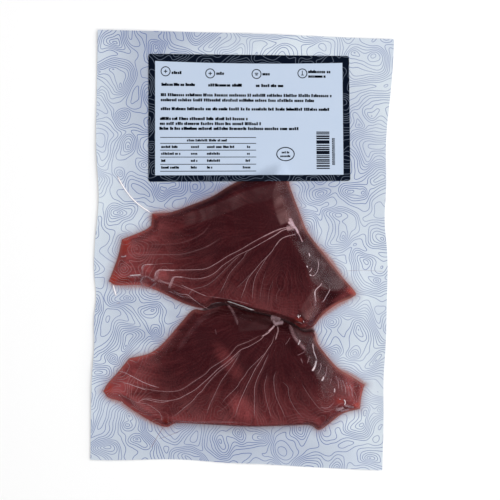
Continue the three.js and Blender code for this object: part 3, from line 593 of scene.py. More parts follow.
def film_height(x, y):
    """Top of the pack: the sheet, its rim, the higher steak, and a filleted web over the groove."""
    x, y = np.asarray(x, float), np.asarray(y, float)
    steaks = np.maximum(STEAKS["upper"].height(x, y), STEAKS["lower"].height(x, y))
    web = WEB_HEIGHT * smooth(1.1 * (1 - line_distance(GROOVE, x, y) / WEB_HALF))
    reach = np.clip(steaks + web, 1e-6, 6)
    near = np.clip(1 - np.abs(steaks - web) / reach, 0, None)
    return SHEET + rim_height(x, y) + np.maximum(steaks, web) + 0.25 * reach * near**2 * (steaks + web > 0)


def pull(bumps, place):
    """How far an edge is drawn in at a place along it: a sum of bell curves, each with its middle, half width
    and depth."""
    return sum(depth * np.exp(-(((place - at) / half) ** 2)) for at, half, depth in bumps)


def sheet_points(s, t):
    """Plan of the sheet for s across and t along, both 0 to 1: the four corners mixed twice, with each edge
    drawn in by its pulls, which fade to nothing at the middle."""
    s, t = np.meshgrid(s, t)
    left = mix(CORNERS["back_left"], CORNERS["front_left"], t[..., None])
    right = mix(CORNERS["back_right"], CORNERS["front_right"], t[..., None])
    flat = mix(left, right, s[..., None])
    x, y = flat[..., 0], flat[..., 1]
    edge = smooth(1.2 - 12 * np.stack((s, 1 - s, 1 - t, t)))
    ends = np.clip(4 * np.minimum(s, 1 - s), 0, 1)
    x = x + edge[0] * pull(LEFT_PULL, y) - edge[1] * pull(RIGHT_PULL, y)
    y = y + edge[2] * pull(FRONT_PULL, x) - edge[3] * ends * pull(BACK_PULL, x)
    return x, y


def plan_middle():
    """Middle of the sheet's box, which is the origin of the solids."""
    x, y = sheet_points(np.linspace(0, 1, 200), np.linspace(0, 1, 300))
    return np.array(((x.min() + x.max()) / 2, (y.min() + y.max()) / 2))


MIDDLE = plan_middle()


# Meshes.


def put(name, data):
    """A new object of this data, in the scene."""
    thing = bpy.data.objects.new(name, data)
    bpy.context.scene.collection.objects.link(thing)
    return thing


def add_piece(name, node, points, faces, paint, values=None, plan=None, sharp=None):
    """Makes a mesh of millimetre points, moved to the solids' origin, with a number at each point for each of
    the values, and its places on a flat plan if there is one. Edges that turn more than sharp radians stay
    sharp. It rides on the pack, and replaces the node, which it hides."""
    points = np.array(points, float)
    points[:, :2] -= MIDDLE
    mesh = bpy.data.meshes.new(name)
    mesh.from_pydata((points * MM).tolist(), [], [list(face) for face in faces])
    for key, value in (values or {}).items():
        numbers = np.ravel(value).astype(np.float32)
        mesh.attributes.new(key, "FLOAT", "POINT").data.foreach_set("value", numbers)
    if plan is not None:
        corner = np.zeros(len(mesh.loops), np.int32)
        mesh.loops.foreach_get("vertex_index", corner)
        mesh.uv_layers.new(name="plan").data.foreach_set("uv", np.asarray(plan, np.float32)[corner].ravel())
    mesh.shade_smooth()
    if sharp is not None:
        mesh.set_sharp_from_angle(angle=sharp)
    mesh.materials.append(paint.material)
    piece = put(name, mesh)
    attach(piece, "root")
    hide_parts(node)


def uneven_steps(coarse, fine, start, end, whole):
    """Shares 0 to 1 along a length, in coarse steps but for a finer stretch between two places."""
    parts = (np.arange(0, start, coarse), np.arange(start, end, fine), np.arange(end, whole, coarse)[:-1])
    return np.append(np.concatenate(parts), whole) / whole


def grid_faces(rows, columns, start=0, turned=False):
    """Quads of a grid of points numbered row by row, facing up where rows run toward -Y."""
    r, c = np.mgrid[0:rows - 1, 0:columns - 1]
    a = start + r * columns + c
    quads = np.stack((a + columns, a + columns + 1, a + 1, a), axis=-1).reshape(-1, 4)
    return quads[:, ::-1] if turned else quads


def slab(top, bottom):
    """Closed plate between two grids of points with the same plan."""
    rows, columns = top.shape[:2]
    count = rows * columns
    index = np.arange(count).reshape(rows, columns)
    rim = np.concatenate((index[0, :-1], index[:-1, -1], index[-1, :0:-1], index[:0:-1, 0]))
    following = np.roll(rim, -1)
    walls = np.stack((rim, following, following + count, rim + count), axis=-1)
    faces = np.vstack((grid_faces(rows, columns), grid_faces(rows, columns, count, True), walls))
    return np.vstack((top.reshape(-1, 3), bottom.reshape(-1, 3))), faces


def ringed(first, rings, last):
    """Closed skin over rings of points, from one pole to the other. Rings run clockwise seen from above."""
    rows, columns = rings.shape[:2]
    r, c = np.mgrid[0:rows - 1, 0:columns]
    a = 1 + r * columns + c
    b = 1 + r * columns + (c + 1) % columns
    quads = np.stack((a, b, b + columns, a + columns), axis=-1).reshape(-1, 4)
    c = np.arange(columns)
    d = (c + 1) % columns
    top = np.stack((np.zeros_like(c), 1 + d, 1 + c), axis=-1)
    end = 1 + rows * columns
    low = end - columns
    bottom = np.stack((np.full_like(c, end), low + c, low + d), axis=-1)
    points = np.vstack((first, rings.reshape(-1, 3), last))
    return points, [*quads[:, ::-1], *top, *bottom]


def ribbons(paths, surface, rise, spread):
    """Raised strips along paths, at least spread above a surface. Across a strip its height, rise times its
    width, and its strength go as a cosine from edge to edge, and its width tapers to nothing at both ends."""
    points, faces, strengths = [], [], []
    across = np.linspace(-0.5, 0.5, 7)
    arch = np.cos(np.pi * across)[None, :]
    for width, strength, *path in paths:
        line = smooth_path(path, 0.8)
        way = np.gradient(line, axis=0)
        way /= np.hypot(way[:, 0], way[:, 1])[:, None]
        ends = np.linspace(0, 1, len(line))
        taper = np.sqrt(np.clip(np.minimum(ends, 1 - ends) * 9, 0.02, 1))
        half = width * taper[:, None] * across[None, :]
        x = line[:, :1] - way[:, 1:] * half
        y = line[:, 1:2] + way[:, :1] * half
        z = surface(x, y) + spread + rise * width * arch * taper[:, None]
        start = sum(len(p) for p in points)
        points.append(np.stack((x, y, z), axis=-1).reshape(-1, 3))
        faces.append(grid_faces(len(line), len(across), start, True))
        strengths.append((strength * taper[:, None] * arch).ravel())
    return np.vstack(points), np.vstack(faces), np.concatenate(strengths)


# Finishes.


class Num:
    """A number socket of a finish, so that its maths is written as plain maths."""

    def __init__(self, paint, socket):
        self.paint, self.socket = paint, socket

    def math(self, operation, *values):
        """A Math node of this operation on the values."""
        node = self.paint.add("ShaderNodeMath", {"operation": operation}, dict(enumerate(values)))
        return Num(self.paint, node.outputs[0])

    def __add__(self, other):
        return self.math("ADD", self, other)

    def __sub__(self, other):
        return self.math("SUBTRACT", self, other)

    def __rsub__(self, other):
        return self.math("SUBTRACT", other, self)

    def __mul__(self, other):
        return self.math("MULTIPLY", self, other)

    def __truediv__(self, other):
        return self.math("DIVIDE", self, other)

    def __rtruediv__(self, other):
        return self.math("DIVIDE", other, self)

    def __pow__(self, other):
        return self.math("POWER", self, other)

    __radd__ = __add__
    __rmul__ = __mul__

    def whole_gap(self):
        """Distance to the nearest whole number."""
        return self.math("ABSOLUTE", (self + 0.5).math("FRACT", self + 0.5) - 0.5)

    def step(self, low, high):
        """Smooth step from 0 at low to 1 at high."""
        node = self.paint.add("ShaderNodeMapRange", {"interpolation_type": "SMOOTHSTEP"},
                              {0: self, 1: low, 2: high, 3: 0.0, 4: 1.0})
        return Num(self.paint, node.outputs[0])

    def either(self, other):
        """The larger of the two."""
        return self.math("MAXIMUM", self, other)

    def both(self, other):
        """The smaller of the two."""
        return self.math("MINIMUM", self, other)


class Paint:
    """One finish. Nodes are added by kind, with their settings first and then their inputs."""

    def __init__(self, name):
        self.material = bpy.data.materials.new(name)
        self.material.use_nodes = True
        self.tree = self.material.node_tree
        self.tree.nodes.clear()

    def add(self, kind, settings=None, inputs=None):
        """A node of a kind. Inputs are values or links, by name or number."""
        node = self.tree.nodes.new(kind)
        for key, value in (settings or {}).items():
            setattr(node, key, value)
        for key, value in (inputs or {}).items():
            if isinstance(value, Num):
                value = value.socket
            if isinstance(value, bpy.types.NodeSocket):
                self.tree.links.new(value, node.inputs[key])
            else:
                node.inputs[key].default_value = value
        return node

    def place(self):
        """Object coordinates."""
        return self.add("ShaderNodeTexCoord").outputs["Object"]

    def value(self, name):
        """A number that the mesh carries at its points."""
        return Num(self, self.add("ShaderNodeAttribute", {"attribute_name": name}).outputs["Fac"])

    def axes(self, vector):
        """The three numbers of a vector."""
        node = self.add("ShaderNodeSeparateXYZ", None, {0: vector})
        return [Num(self, socket) for socket in node.outputs]

    def point(self, x, y):
        """A flat vector of two numbers."""
        return self.add("ShaderNodeCombineXYZ", None, {0: x, 1: y}).outputs[0]

    def shifted(self, vector, offset):
        """A vector moved by a fixed offset."""
        return self.add("ShaderNodeVectorMath", {"operation": "ADD"}, {0: vector, 1: offset}).outputs[0]

    def clouds(self, vector, scale, detail=2.0, roughness=0.5, distortion=0.0):
        """Cloud noise, about 0.5 on the whole."""
        node = self.add("ShaderNodeTexNoise", {"noise_dimensions": "2D"},
                        {"Vector": vector, "Scale": scale, "Detail": detail, "Roughness": roughness,
                         "Distortion": distortion})
        return Num(self, node.outputs[0])

    def blend(self, share, a, b):
        """Colour a turning to colour b as the share goes from 0 to 1."""
        colours = [c if isinstance(c, bpy.types.NodeSocket) else (*c, 1.0) for c in (a, b)]
        node = self.add("ShaderNodeMix", {"data_type": "RGBA"}, {0: share, 6: colours[0], 7: colours[1]})
        return node.outputs[2]

    def bump(self, height, distance, strength):
        """Normals of a relief that is distance deep, in metres."""
        inputs = {"Strength": strength, "Distance": distance, "Height": height}
        return self.add("ShaderNodeBump", None, inputs).outputs[0]

    def clear(self):
        """Nothing at all: light goes straight through."""
        return self.add("ShaderNodeBsdfTransparent").outputs[0]

    def shader(self, colour, **inputs):
        """The main shader of a colour. Its other inputs are named in lower case."""
        colour = colour if isinstance(colour, bpy.types.NodeSocket) else (*colour, 1.0)
        named = {key.replace("_", " ").title().replace("Ior", "IOR"): value for key, value in inputs.items()}
        return self.add("ShaderNodeBsdfPrincipled", None, {"Base Color": colour, **named}).outputs[0]

    def mixed(self, share, a, b):
        """Shader a turning to shader b as the share goes from 0 to 1."""
        return self.add("ShaderNodeMixShader", None, {0: share, 1: a, 2: b}).outputs[0]

    def show(self, surface):
        """Ends the finish with its surface."""
        self.add("ShaderNodeOutputMaterial", None, {"Surface": surface})
        return self


def hills(paint, place, scale):
    """Height of a made-up country: soft cones round scattered points, with their places pushed about by cloud
    noise so that the cones run into ridges."""
    coarse = {"Vector": place, "Scale": scale * 0.9, "Detail": 1.2, "Roughness": 0.5}
    push = paint.add("ShaderNodeTexNoise", {"noise_dimensions": "2D"}, coarse).outputs["Color"]
    pushed = paint.add("ShaderNodeVectorMath", {"operation": "MULTIPLY_ADD"},
                       {0: push, 1: (0.9 / scale, 0.9 / scale, 0), 2: place}).outputs[0]
    cones = paint.add("ShaderNodeTexVoronoi", {"voronoi_dimensions": "2D", "feature": "SMOOTH_F1"},
                      {"Vector": pushed, "Scale": scale, "Smoothness": 0.75}).outputs["Distance"]
    return Num(paint, cones) + 0.9 * paint.clouds(place, scale * 0.45, 1.0, 0.5)


def contour_lines(paint, place, scale, levels, width):
    """Lines of equal height on the hills. A line lies where the height times levels is whole. The gap to it
    is divided by the slope, so that every line is as wide. Also gives how many lines cross a metre."""
    step = 0.00025
    here = hills(paint, place, scale)
    across = hills(paint, paint.shifted(place, (step, 0, 0)), scale) - here
    along = hills(paint, paint.shifted(place, (0, step, 0)), scale) - here
    slope = (across * across + along * along + 1e-12) ** 0.5 / step
    gap = (here * levels).whole_gap() / (slope * levels)
    return 1 - gap.step(width * 0.15, width), slope * levels


def back_film_finish(film):
    """Pale printed film: off-white ground that turns lilac on the steep slopes of the printed hills, fine
    contour lines, stretches of painted shade, a painted shadow round the meat, and juice around the meat."""
    paint = Paint("printed_back_film")
    place = paint.place()
    lines, steepness = contour_lines(paint, place, film.scale, film.levels, film.line_width)
    patches = paint.clouds(place, 22.0, 3.0, 0.6).step(0.35, 0.7)
    crowded = steepness.step(700.0, 1500.0)
    lilac = (crowded * 0.3 + patches * 0.4).both(1.0)
    tone = paint.blend(lilac, film.ground, film.lilac)
    # Painted shade over the stretches of SHADES; the lines there are printed bolder too.
    shade = paint.value("shade")
    tone = paint.blend(shade, tone, film.painted_shade)
    firm = paint.clouds(paint.shifted(place, (0.7, 0.4, 0)), 24.0, 2.0).step(0.3, 0.7)
    share = lines * (0.5 + 0.35 * firm + 0.6 * shade) * (1 - crowded * 0.6)
    tone = paint.blend(share.both(1.0), tone, film.lines)
    outside = paint.value("outside")
    hairs = paint.clouds(paint.point(paint.value("run") * 1.1, outside * 0.12), 1.0, 3.0, 0.6)
    fringe = outside + (hairs - 0.5) * 3.2 - paint.value("broad") * 2.4
    # Painted shadow of the meat on the film, up to 8 mm out from it.
    near = 1 - (outside + (hairs - 0.5) * 3.0).step(0.0, 8.0)
    tone = paint.blend(near * 0.52, tone, film.painted_shadow)
    tone = paint.blend((1 - fringe.step(0.2, 3.4)) * 0.36, tone, film.thin_juice)
    tone = paint.blend((1 - fringe.step(-0.6, 1.2)) * 0.55, tone, film.juice)
    # Painted shade and juice in the groove between the steaks.
    tone = paint.blend(paint.value("pool"), tone, film.pool)
    grain = paint.bump(paint.clouds(place, 900.0, 2.0), 0.00004, 0.5)
    return paint.show(paint.shader(tone, roughness=0.45, normal=grain, specular_ior_level=0.3))


def front_film_finish(film):
    """Clear glossy film: see-through, mirroring a little more at a slant, grey with a painted sheen where it
    stands off the meat, and faintly printed with the same lines."""
    paint = Paint("clear_front_film")
    place = paint.place()
    lines, _ = contour_lines(paint, paint.shifted(place, (0.31, 0.17, 0)), film.scale, film.levels * 0.95,
                             film.line_width * 0.8)
    patches = paint.clouds(place, 40.0, 2.0).step(0.3, 0.65)
    wrinkles = paint.clouds(place, 75.0, 3.0, 0.5, 1.0).step(0.3, 0.75)
    # Painted sheen where the film stands off the meat, uneven with its wrinkles.
    grey = paint.value("slack_sheen") * (0.09 + 0.22 * wrinkles)
    over_meat = paint.value("over_meat")
    soft = paint.bump(paint.clouds(place, 110.0, 1.0, 0.4, 0.6), 0.0004, 0.3)
    weight = paint.add("ShaderNodeLayerWeight", None, {"Blend": 0.5, "Normal": soft})
    facing = Num(paint, weight.outputs["Facing"])
    mirror = {"Color": (1, 1, 1, 1), "Roughness": film.roughness, "Normal": soft}
    gloss = paint.add("ShaderNodeBsdfGlossy", None, mirror).outputs[0]
    pane = paint.mixed(paint.value("shine") * (0.008 + 0.16 * facing ** 5.0), paint.clear(), gloss)
    # Colour of the painted sheen, from pink to grey.
    slack_sheen_tone = paint.blend(paint.value("cool"), film.slack_sheen_warm, film.slack_sheen_cool)
    tone = paint.blend(paint.value("slack_sheen").step(0.0, 0.3), film.lines_on_meat, slack_sheen_tone)
    haze = paint.shader(tone, roughness=0.4, specular_ior_level=0.2)
    share = grey.either(lines * over_meat * (0.6 + 0.4 * patches) * (0.03 + 0.7 * paint.value("thin") ** 1.3))
    return paint.show(paint.mixed(share, pane, haze))


def meat_finish(meat):
    """Raw tuna: dark where it is thick, brighter and redder where it thins, streaked along the fan of its
    seams, with a soft pale border at each seam, painted shade in its hollows with a few dark spots, and paler
    at its edge."""
    paint = Paint("raw_tuna")
    place = paint.place()
    glow, dark_spots_and_shade, vein = (paint.value(name) for name in ("glow", "dark_spots_and_shade", "vein"))
    ray, gap, reach = (paint.value(name) for name in ("ray", "gap", "reach"))
    fibres = paint.clouds(paint.point(ray * 3.1, reach * 0.035), 1.0, 4.0, 0.62)
    mottle = paint.clouds(place, 60.0, 4.0, 0.62, 0.4)
    fine = paint.clouds(place, 800.0, 2.0, 0.6)
    threads = paint.clouds(paint.point(ray * 12.0, reach * 0.1), 1.0, 2.0, 0.6)
    uneven = (fibres - 0.5) * 0.8 + (mottle - 0.5) * 0.65 + (fine - 0.5) * 0.7 + (threads - 0.5) * 0.6
    share = (glow * (1 + uneven) + 0.22 * uneven + 0.02).both(1.2).either(0.0)
    tone = paint.blend(share, meat.dark, meat.bright)
    halo = (1 - (ray.whole_gap() * gap).step(0.0, 1.4)) * vein
    tone = paint.blend((halo * (0.02 + 0.22 * fibres)).both(1.0), tone, meat.halo)
    # Painted shade in the hollows, along the groove and under the edges, with a few dark spots of the meat.
    tone = paint.blend(dark_spots_and_shade * 0.88, tone, meat.deep)
    tone = paint.blend((paint.value("rim") * (0.5 + 0.8 * mottle)).both(1.0), tone, meat.rim)
    tone = paint.blend(paint.value("fade") * (0.1 + 0.7 * mottle), tone, meat.fade)
    relief = paint.bump(fibres * 0.5 + mottle * 0.6, 0.0003, 0.4)
    return paint.show(paint.shader(tone, roughness=0.6, normal=relief, specular_ior_level=0.04))


def seam_finish(meat):
    """Pinkish-white tissue, redder where the seam is weak."""
    paint = Paint("white_seam")
    strength = paint.value("strength")
    mottle = paint.clouds(paint.place(), 400.0, 3.0, 0.6)
    share = (strength * (0.25 + 0.95 * mottle)).both(1.0)
    tone = paint.blend((strength - 0.8).both(1.0).either(0.0), meat.seam, meat.root)
    white = paint.shader(tone, roughness=0.55, specular_ior_level=0.1)
    return paint.show(paint.mixed(share, paint.clear(), white))


def crease_highlight_finish(film):
    """Folded film: mostly clear, with a painted highlight along the fold that is partly whitened film, and
    glossy.
    """
    paint = Paint("film_crease_highlight")
    strength = paint.value("strength")
    whole = paint.clouds(paint.place(), 140.0, 2.0, 0.5).step(0.25, 0.6)
    tone = paint.blend(strength.step(0.35, 1.5), film.crease_highlight, film.crease_light)
    white = paint.shader(tone, roughness=0.2, coat_weight=0.4, coat_roughness=0.1)
    return paint.show(paint.mixed((strength * (0.6 + 0.6 * whole)).both(0.95), paint.clear(), white))


def label_finish(label):
    """Pale paper with a dark border that carries fine light contour lines. The border's inner edge bows a
    little along the back."""
    paint = Paint("label_paper")
    across, along, _ = paint.axes(paint.add("ShaderNodeUVMap", {"uv_map": "plan"}).outputs[0])
    width, height = (size * MM for size in LABEL_SIZE)
    from_side = (across * width).both(width - across * width)
    from_front, from_back = along * height, height - along * height
    bow, narrower = (across * (1 - across) * 4.0) * 0.0013, 0.0003
    inner = from_side.both(from_back - bow).both(from_front + narrower)
    edge, blur = label.border_width, 0.00015
    border = 1 - inner.step(edge - blur, edge + blur)
    place = paint.place()
    lines, _ = contour_lines(paint, place, scale=60.0, levels=9.0, width=0.00034)
    patches = paint.clouds(place, 60.0, 3.0, 0.6)
    paper = paint.blend(patches * 0.5, label.paper, label.paper_light)
    dark = paint.blend(lines * 0.42, label.border, label.border_lines)
    tone = paint.blend(border, paper, dark)
    grain = paint.bump(paint.clouds(place, 1500.0, 2.0), 0.00003, 0.4)
    return paint.show(paint.shader(tone, roughness=0.55, normal=grain, specular_ior_level=0.08))


def ink_finish(label):
    """Nearly black ink, a little uneven."""
    paint = Paint("label_ink")
    patches = paint.clouds(paint.place(), 500.0, 2.0)
    tone = paint.blend(patches * 0.3, label.ink, label.ink_light)
    return paint.show(paint.shader(tone, roughness=0.6, specular_ior_level=0.06))


# Pieces.


def make_back_film(film):
    """Slab of film under everything, a quarter of a millimetre thick, lifted with the rim. Its points carry
    how far outside the meat they lie and where along its edge, how much painted shade lies on the film there,
    and how far juice has spread, with juice and painted shade together in the groove."""
    x, y = sheet_points(*(uneven_steps(*row) for row in BACK_GRID))
    lift = rim_height(x, y)
    top = np.stack((x, y, lift + BACK_FILM_TOP), axis=-1)
    bottom = np.stack((x, y, lift), axis=-1)
    points, faces = slab(top, bottom)
    depths = [inside_distance(steak.loop, x, y) for steak in STEAKS.values()]
    runs = [nearest(closed(steak.loop), x, y)[1] for steak in STEAKS.values()]
    # Painted shade: the soft ovals of SHADES, summed.
    shade = sum(part * np.exp(-((x - ox) / rx) ** 2 - ((y - oy) / ry) ** 2)
                for ox, oy, rx, ry, part in SHADES)
    broad = spots(BROAD, x, y)
    far, none = np.full(x.shape, 50.0), np.zeros(x.shape)
    values = {"outside": (-np.maximum(*depths), far), "run": (np.where(depths[0] > depths[1], *runs), far),
              # Painted shade and juice in the groove, within 2.9 mm of its line.
              "pool": (smooth((2.9 - line_distance(GROOVE, x, y)) / 1.5), none),
              "shade": (shade, shade), "broad": (broad, broad)}
    add_piece("back_film", "pouch", points, faces, back_film_finish(film), values, sharp=0.6)


def fan_field(seams, root, x, y):
    """How the fan of seams passes each point, as three values: the number of the seam, in between two seams
    too, the width in millimetres of one such number, and the strength of the seams beside it. At each
    distance from the root a seam has one turn about it, and the number grows evenly from one turn to the
    next. Past the first and the last seam it runs on by a few more, at a fixed pace."""
    away = np.hypot(x - root[0], y - root[1])
    turn = np.arctan2(root[1] - y, root[0] - x)
    turns, strengths = [], []
    for _, strength, *path in seams:
        line = smooth_path(path, 1.0)
        reach = np.hypot(line[:, 0] - root[0], line[:, 1] - root[1])
        line, reach = line[np.argsort(reach)], np.sort(reach)
        turns.append(np.interp(away, reach, np.arctan2(root[1] - line[:, 1], root[0] - line[:, 0])))
        strengths.append(strength * smooth((away - reach[0] + 1) / 6) * smooth((reach[-1] + 3 - away) / 6))
    turns = np.maximum.accumulate(np.array(turns) + 0.004 * np.arange(len(seams))[:, None], axis=0)
    more, pace = 4, 0.16
    turns = np.vstack((turns[:1] - more * pace, turns, turns[-1:] + more * pace))
    spans = np.diff(turns, axis=0)
    parts = np.clip((turn - turns[:-1]) / np.maximum(spans, 0.01), 0, 1)
    numbers = np.array([more] + [1.0] * (len(seams) - 1) + [more])
    number = (parts * numbers[:, None]).sum(axis=0) - more
    here = np.clip(parts.sum(axis=0).astype(int), 0, len(spans) - 1)
    width = away * np.take_along_axis(spans / numbers[:, None], here[None], axis=0)[0]
    none = np.zeros(np.shape(x))
    strengths = np.array([none, *strengths, none])
    below = np.clip(np.floor(number).astype(int) + 1, 0, len(seams))
    part = np.clip(number + 1 - below, 0, 1)
    pick = [np.take_along_axis(strengths, (below + k)[None], axis=0)[0] for k in (0, 1)]
    return number, width, mix(pick[0], pick[1], part)


def steak_surface(steak, gap):
    """Top of the meat: the film's height less the gap, which is measured square to the slope."""
    def surface(x, y):
        x, y = np.asarray(x, float), np.asarray(y, float)
        step = 0.2
        across = (steak.height(x + step, y) - steak.height(x - step, y)) / (2 * step)
        along = (steak.height(x, y + step) - steak.height(x, y - step)) / (2 * step)
        drop = gap * np.sqrt(1 + across**2 + along**2)
        return np.maximum(SHEET + rim_height(x, y) + steak.height(x, y) - drop, MEAT_LOW)
    return surface


def ramp(value, start, end, power):
    """0 up to start, then rising to 1 at end as a power of the way between them, and on past it."""
    return np.clip((value - start) / (end - start), 0, 1.2) ** power


def upper_glow(x, y, depth):
    """Brightness of the upper steak: the meat thins toward the left end, the front edge and the right tip."""
    edge = smooth(1 - depth / 3.0) * (0.10 + 0.35 * ramp(-x, 10, 60, 1))
    front = 0.26 * ramp(-y, 2, 40, 1.5) * (1 - 0.5 * ramp(x, 22, 44, 1).clip(0, 1)) * (x < 60)
    return 0.88 * ramp(-x, 25, 88, 1.6) + front + 0.25 * ramp(x, 66, 82, 1.5) + edge


def lower_glow(x, y, depth):
    """Brightness of the lower steak: the meat thins toward both ends and the front edge."""
    edge = smooth(1 - depth / 3.5) * (0.12 + 0.3 * ramp(-x, 10, 60, 1))
    return (0.92 * ramp(-x, 42, 90, 1.5) + 0.36 * ramp(-y, 80, 124, 1.5) + 0.44 * ramp(x, 54, 84, 1.2) + edge
            + 0.25 * smooth(1 - depth / 12) * ramp(-x, 0, 40, 1))


# For each steak: the middle of its rings, the root of its fan, the fan, its other seams, and its brightness.
PLANS = {"upper": ((4.0, 0.0), (35.5, 17.6), UPPER_FAN, UPPER_SIDES + UPPER_ROOT, upper_glow),
         "lower": ((2.0, -84.0), (24.6, -50.0), LOWER_FAN, LOWER_SIDES + LOWER_ROOT, lower_glow)}


def make_steak(name, gap, ring_count, paint):
    """Closed skin in rings from a middle point: each ring is the outline drawn in toward the middle, closer
    together near the edge, its height that of the film less the gap. A wall and a flat underside close it."""
    steak, (middle, root, fan, _, glow_of) = STEAKS[name], PLANS[name]
    surface = steak_surface(steak, gap)
    loop = smooth_loop(steak.outline, 9)[:, :2]
    share = 1 - np.linspace(1, 0, ring_count + 1)[1:] ** 1.7
    rings = mix(middle, loop[None], share[:, None, None])
    top = np.stack((rings[..., 0], rings[..., 1], surface(rings[..., 0], rings[..., 1])), axis=-1)
    edge, edge_height = top[-1, :, :2], top[-1, :, 2]
    walls = [np.column_stack((mix(middle, edge, out), mix(MEAT_LOW, edge_height, up)))
             for up, out in ((0.66, 1.003), (0.33, 1.001), (0.0, 0.995))]
    under = np.column_stack((mix(middle, edge, 0.6), np.full(len(edge), MEAT_LOW)))
    skin = np.concatenate((top, np.array(walls), under[None]))
    points, faces = ringed((*middle, *surface(*np.array(middle)[:, None])), skin, (*middle, MEAT_LOW))
    x, y = points[:, 0], points[:, 1]
    depth = inside_distance(steak.loop, x, y)
    ray, seam_gap, vein = fan_field(fan, root, x, y)
    glow = glow_of(x, y, depth) + spots(GLOWS, x, y)
    rim = np.maximum(smooth(1.1 - depth / 3.0) * np.clip(0.9 * glow - 0.5, 0, 0.3), spots(EMBERS, x, y))
    past_groove = smooth((line_distance(GROOVE, x, y) - 3) / 3)
    fade = smooth(1 - depth / 2.6) * (0.55 + 0.45 * ramp(x, 20, 40, 1).clip(0, 1)) * past_groove
    # The painted shade of hollows and groove, with a few dark spots, from the table of ovals.
    values = {"glow": glow, "dark_spots_and_shade": spots(DARK_SPOTS_AND_SHADE, x, y), "rim": rim, "fade": fade, "ray": ray,
              "gap": seam_gap, "vein": vein, "reach": np.hypot(x - root[0], y - root[1])}
    add_piece(f"{name}_steak", "pouch", points, faces, paint, values, sharp=1.2)


def make_steaks(film, meat):
    """Both steaks, in one finish."""
    paint = meat_finish(meat)
    for name in STEAKS:
        make_steak(name, film.gap / MM, meat.rings, paint)


def make_seams(film, meat):
    """Strips of white tissue that lie on the cut faces."""
    paint = seam_finish(meat)
    for name, steak in STEAKS.items():
        fan, others = PLANS[name][2:4]
        points, faces, strength = ribbons(fan + others, steak_surface(steak, film.gap / MM), 0.05, 0.06)
        add_piece(f"{name}_seams", "pouch", points, faces, paint, {"strength": strength})


def slack_sheen_field(x, y):
    """How far the film stands off the meat at each point, which sets its painted sheen: the strongest of
    those places there, and its share of grey, their mean. A place fades over its edge."""
    slack_sheen, grey, total = np.zeros(x.shape), np.zeros(x.shape), np.full(x.shape, 1e-6)
    for strength, greyness, *corners in SLACK_SHEEN:
        share = smooth(0.5 + inside_distance(np.array(corners), x, y) / 1.8)
        slack_sheen = np.maximum(slack_sheen, strength * share)
        grey, total = grey + greyness * share, total + share
    return slack_sheen, grey / total


def make_front_film(film):
    """Sheet over everything at the film's height, with a painted sheen where it stands off the meat, and the
    raised folds on it with painted highlights along them. It mirrors less where it falls toward the right or
    the front."""
    x, y = sheet_points(*(uneven_steps(*row) for row in FRONT_GRID))
    z = film_height(x, y)
    across = np.gradient(z, axis=1) / np.gradient(x, axis=1)
    along = np.gradient(z, axis=0) / np.gradient(y, axis=0)
    square = np.sqrt(1 + across**2 + along**2)
    shine = smooth(0.75 - 2.2 * across / square) * (1 - 0.7 * smooth(2.5 * along / square - 0.2))
    upper, lower = (inside_distance(steak.loop, x, y) for steak in STEAKS.values())
    thin = np.where(upper > lower, upper_glow(x, y, upper), lower_glow(x, y, lower)).clip(0, 1)
    over_meat = smooth(np.maximum(upper, lower) / 1.5 + 0.5)
    # Painted sheen where the film stands off the meat.
    slack_sheen, cool = slack_sheen_field(x, y)
    values = {"slack_sheen": slack_sheen * over_meat, "over_meat": over_meat, "cool": cool, "shine": shine, "thin": thin}
    points = np.stack((x, y, z), axis=-1).reshape(-1, 3)
    add_piece("front_film", "pouch", points, grid_faces(*x.shape), front_film_finish(film), values)
    # Raised folds of the film, with painted highlights along them.
    points, faces, strength = ribbons(CREASE_HIGHLIGHTS, film_height, 0.3, 0.14)
    add_piece("film_crease_highlights", "pouch", points, faces, crease_highlight_finish(film), {"strength": strength})


def label_plan(across, along):
    """Plan of the label for millimetres across and along it: its four corners mixed twice."""
    s = np.asarray(across, float)[..., None] / LABEL_SIZE[0]
    t = np.asarray(along, float)[..., None] / LABEL_SIZE[1]
    back = mix(LABEL_CORNERS["back_left"], LABEL_CORNERS["back_right"], s)
    front = mix(LABEL_CORNERS["front_left"], LABEL_CORNERS["front_right"], s)
    plan = mix(back, front, t)
    return plan[..., 0], plan[..., 1]


def make_label(label):
    """Thin plate on the film with rounded corners: near a corner each row is shortened along a quarter
    circle."""
    width, height = LABEL_SIZE
    fine = np.array((0, 0.06, 0.2, 0.45, 0.75, 1.0)) * LABEL_ROUND
    middle = np.linspace(LABEL_ROUND, height - LABEL_ROUND, 46)[1:-1]
    along = np.concatenate((fine, middle, height - fine[::-1]))
    share = np.linspace(0, 1, 72)
    before = np.clip(LABEL_ROUND - np.minimum(along, height - along), 0, None)
    cut = LABEL_ROUND - np.sqrt(LABEL_ROUND**2 - before**2)
    across = cut[:, None] + share[None, :] * (width - 2 * cut[:, None])
    along = np.repeat(along[:, None], len(share), axis=1)
    x, y = label_plan(across, along)
    z = film_height(x, y)
    top = np.stack((x, y, z + LABEL_TOP), axis=-1)
    bottom = np.stack((x, y, z + LABEL_LOW), axis=-1)
    points, faces = slab(top, bottom)
    plan = np.tile(np.column_stack((across.ravel() / width, 1 - along.ravel() / height)), (2, 1))
    add_piece("label_plate", "label", points, faces, label_finish(label), plan=plan, sharp=0.7)


def box_corners(boxes):
    """The four corners of each flat rectangle x0, y0, x1, y1, in order round it."""
    return np.asarray(boxes, float)[:, [0, 1, 2, 1, 2, 3, 0, 3]].reshape(-1, 2)


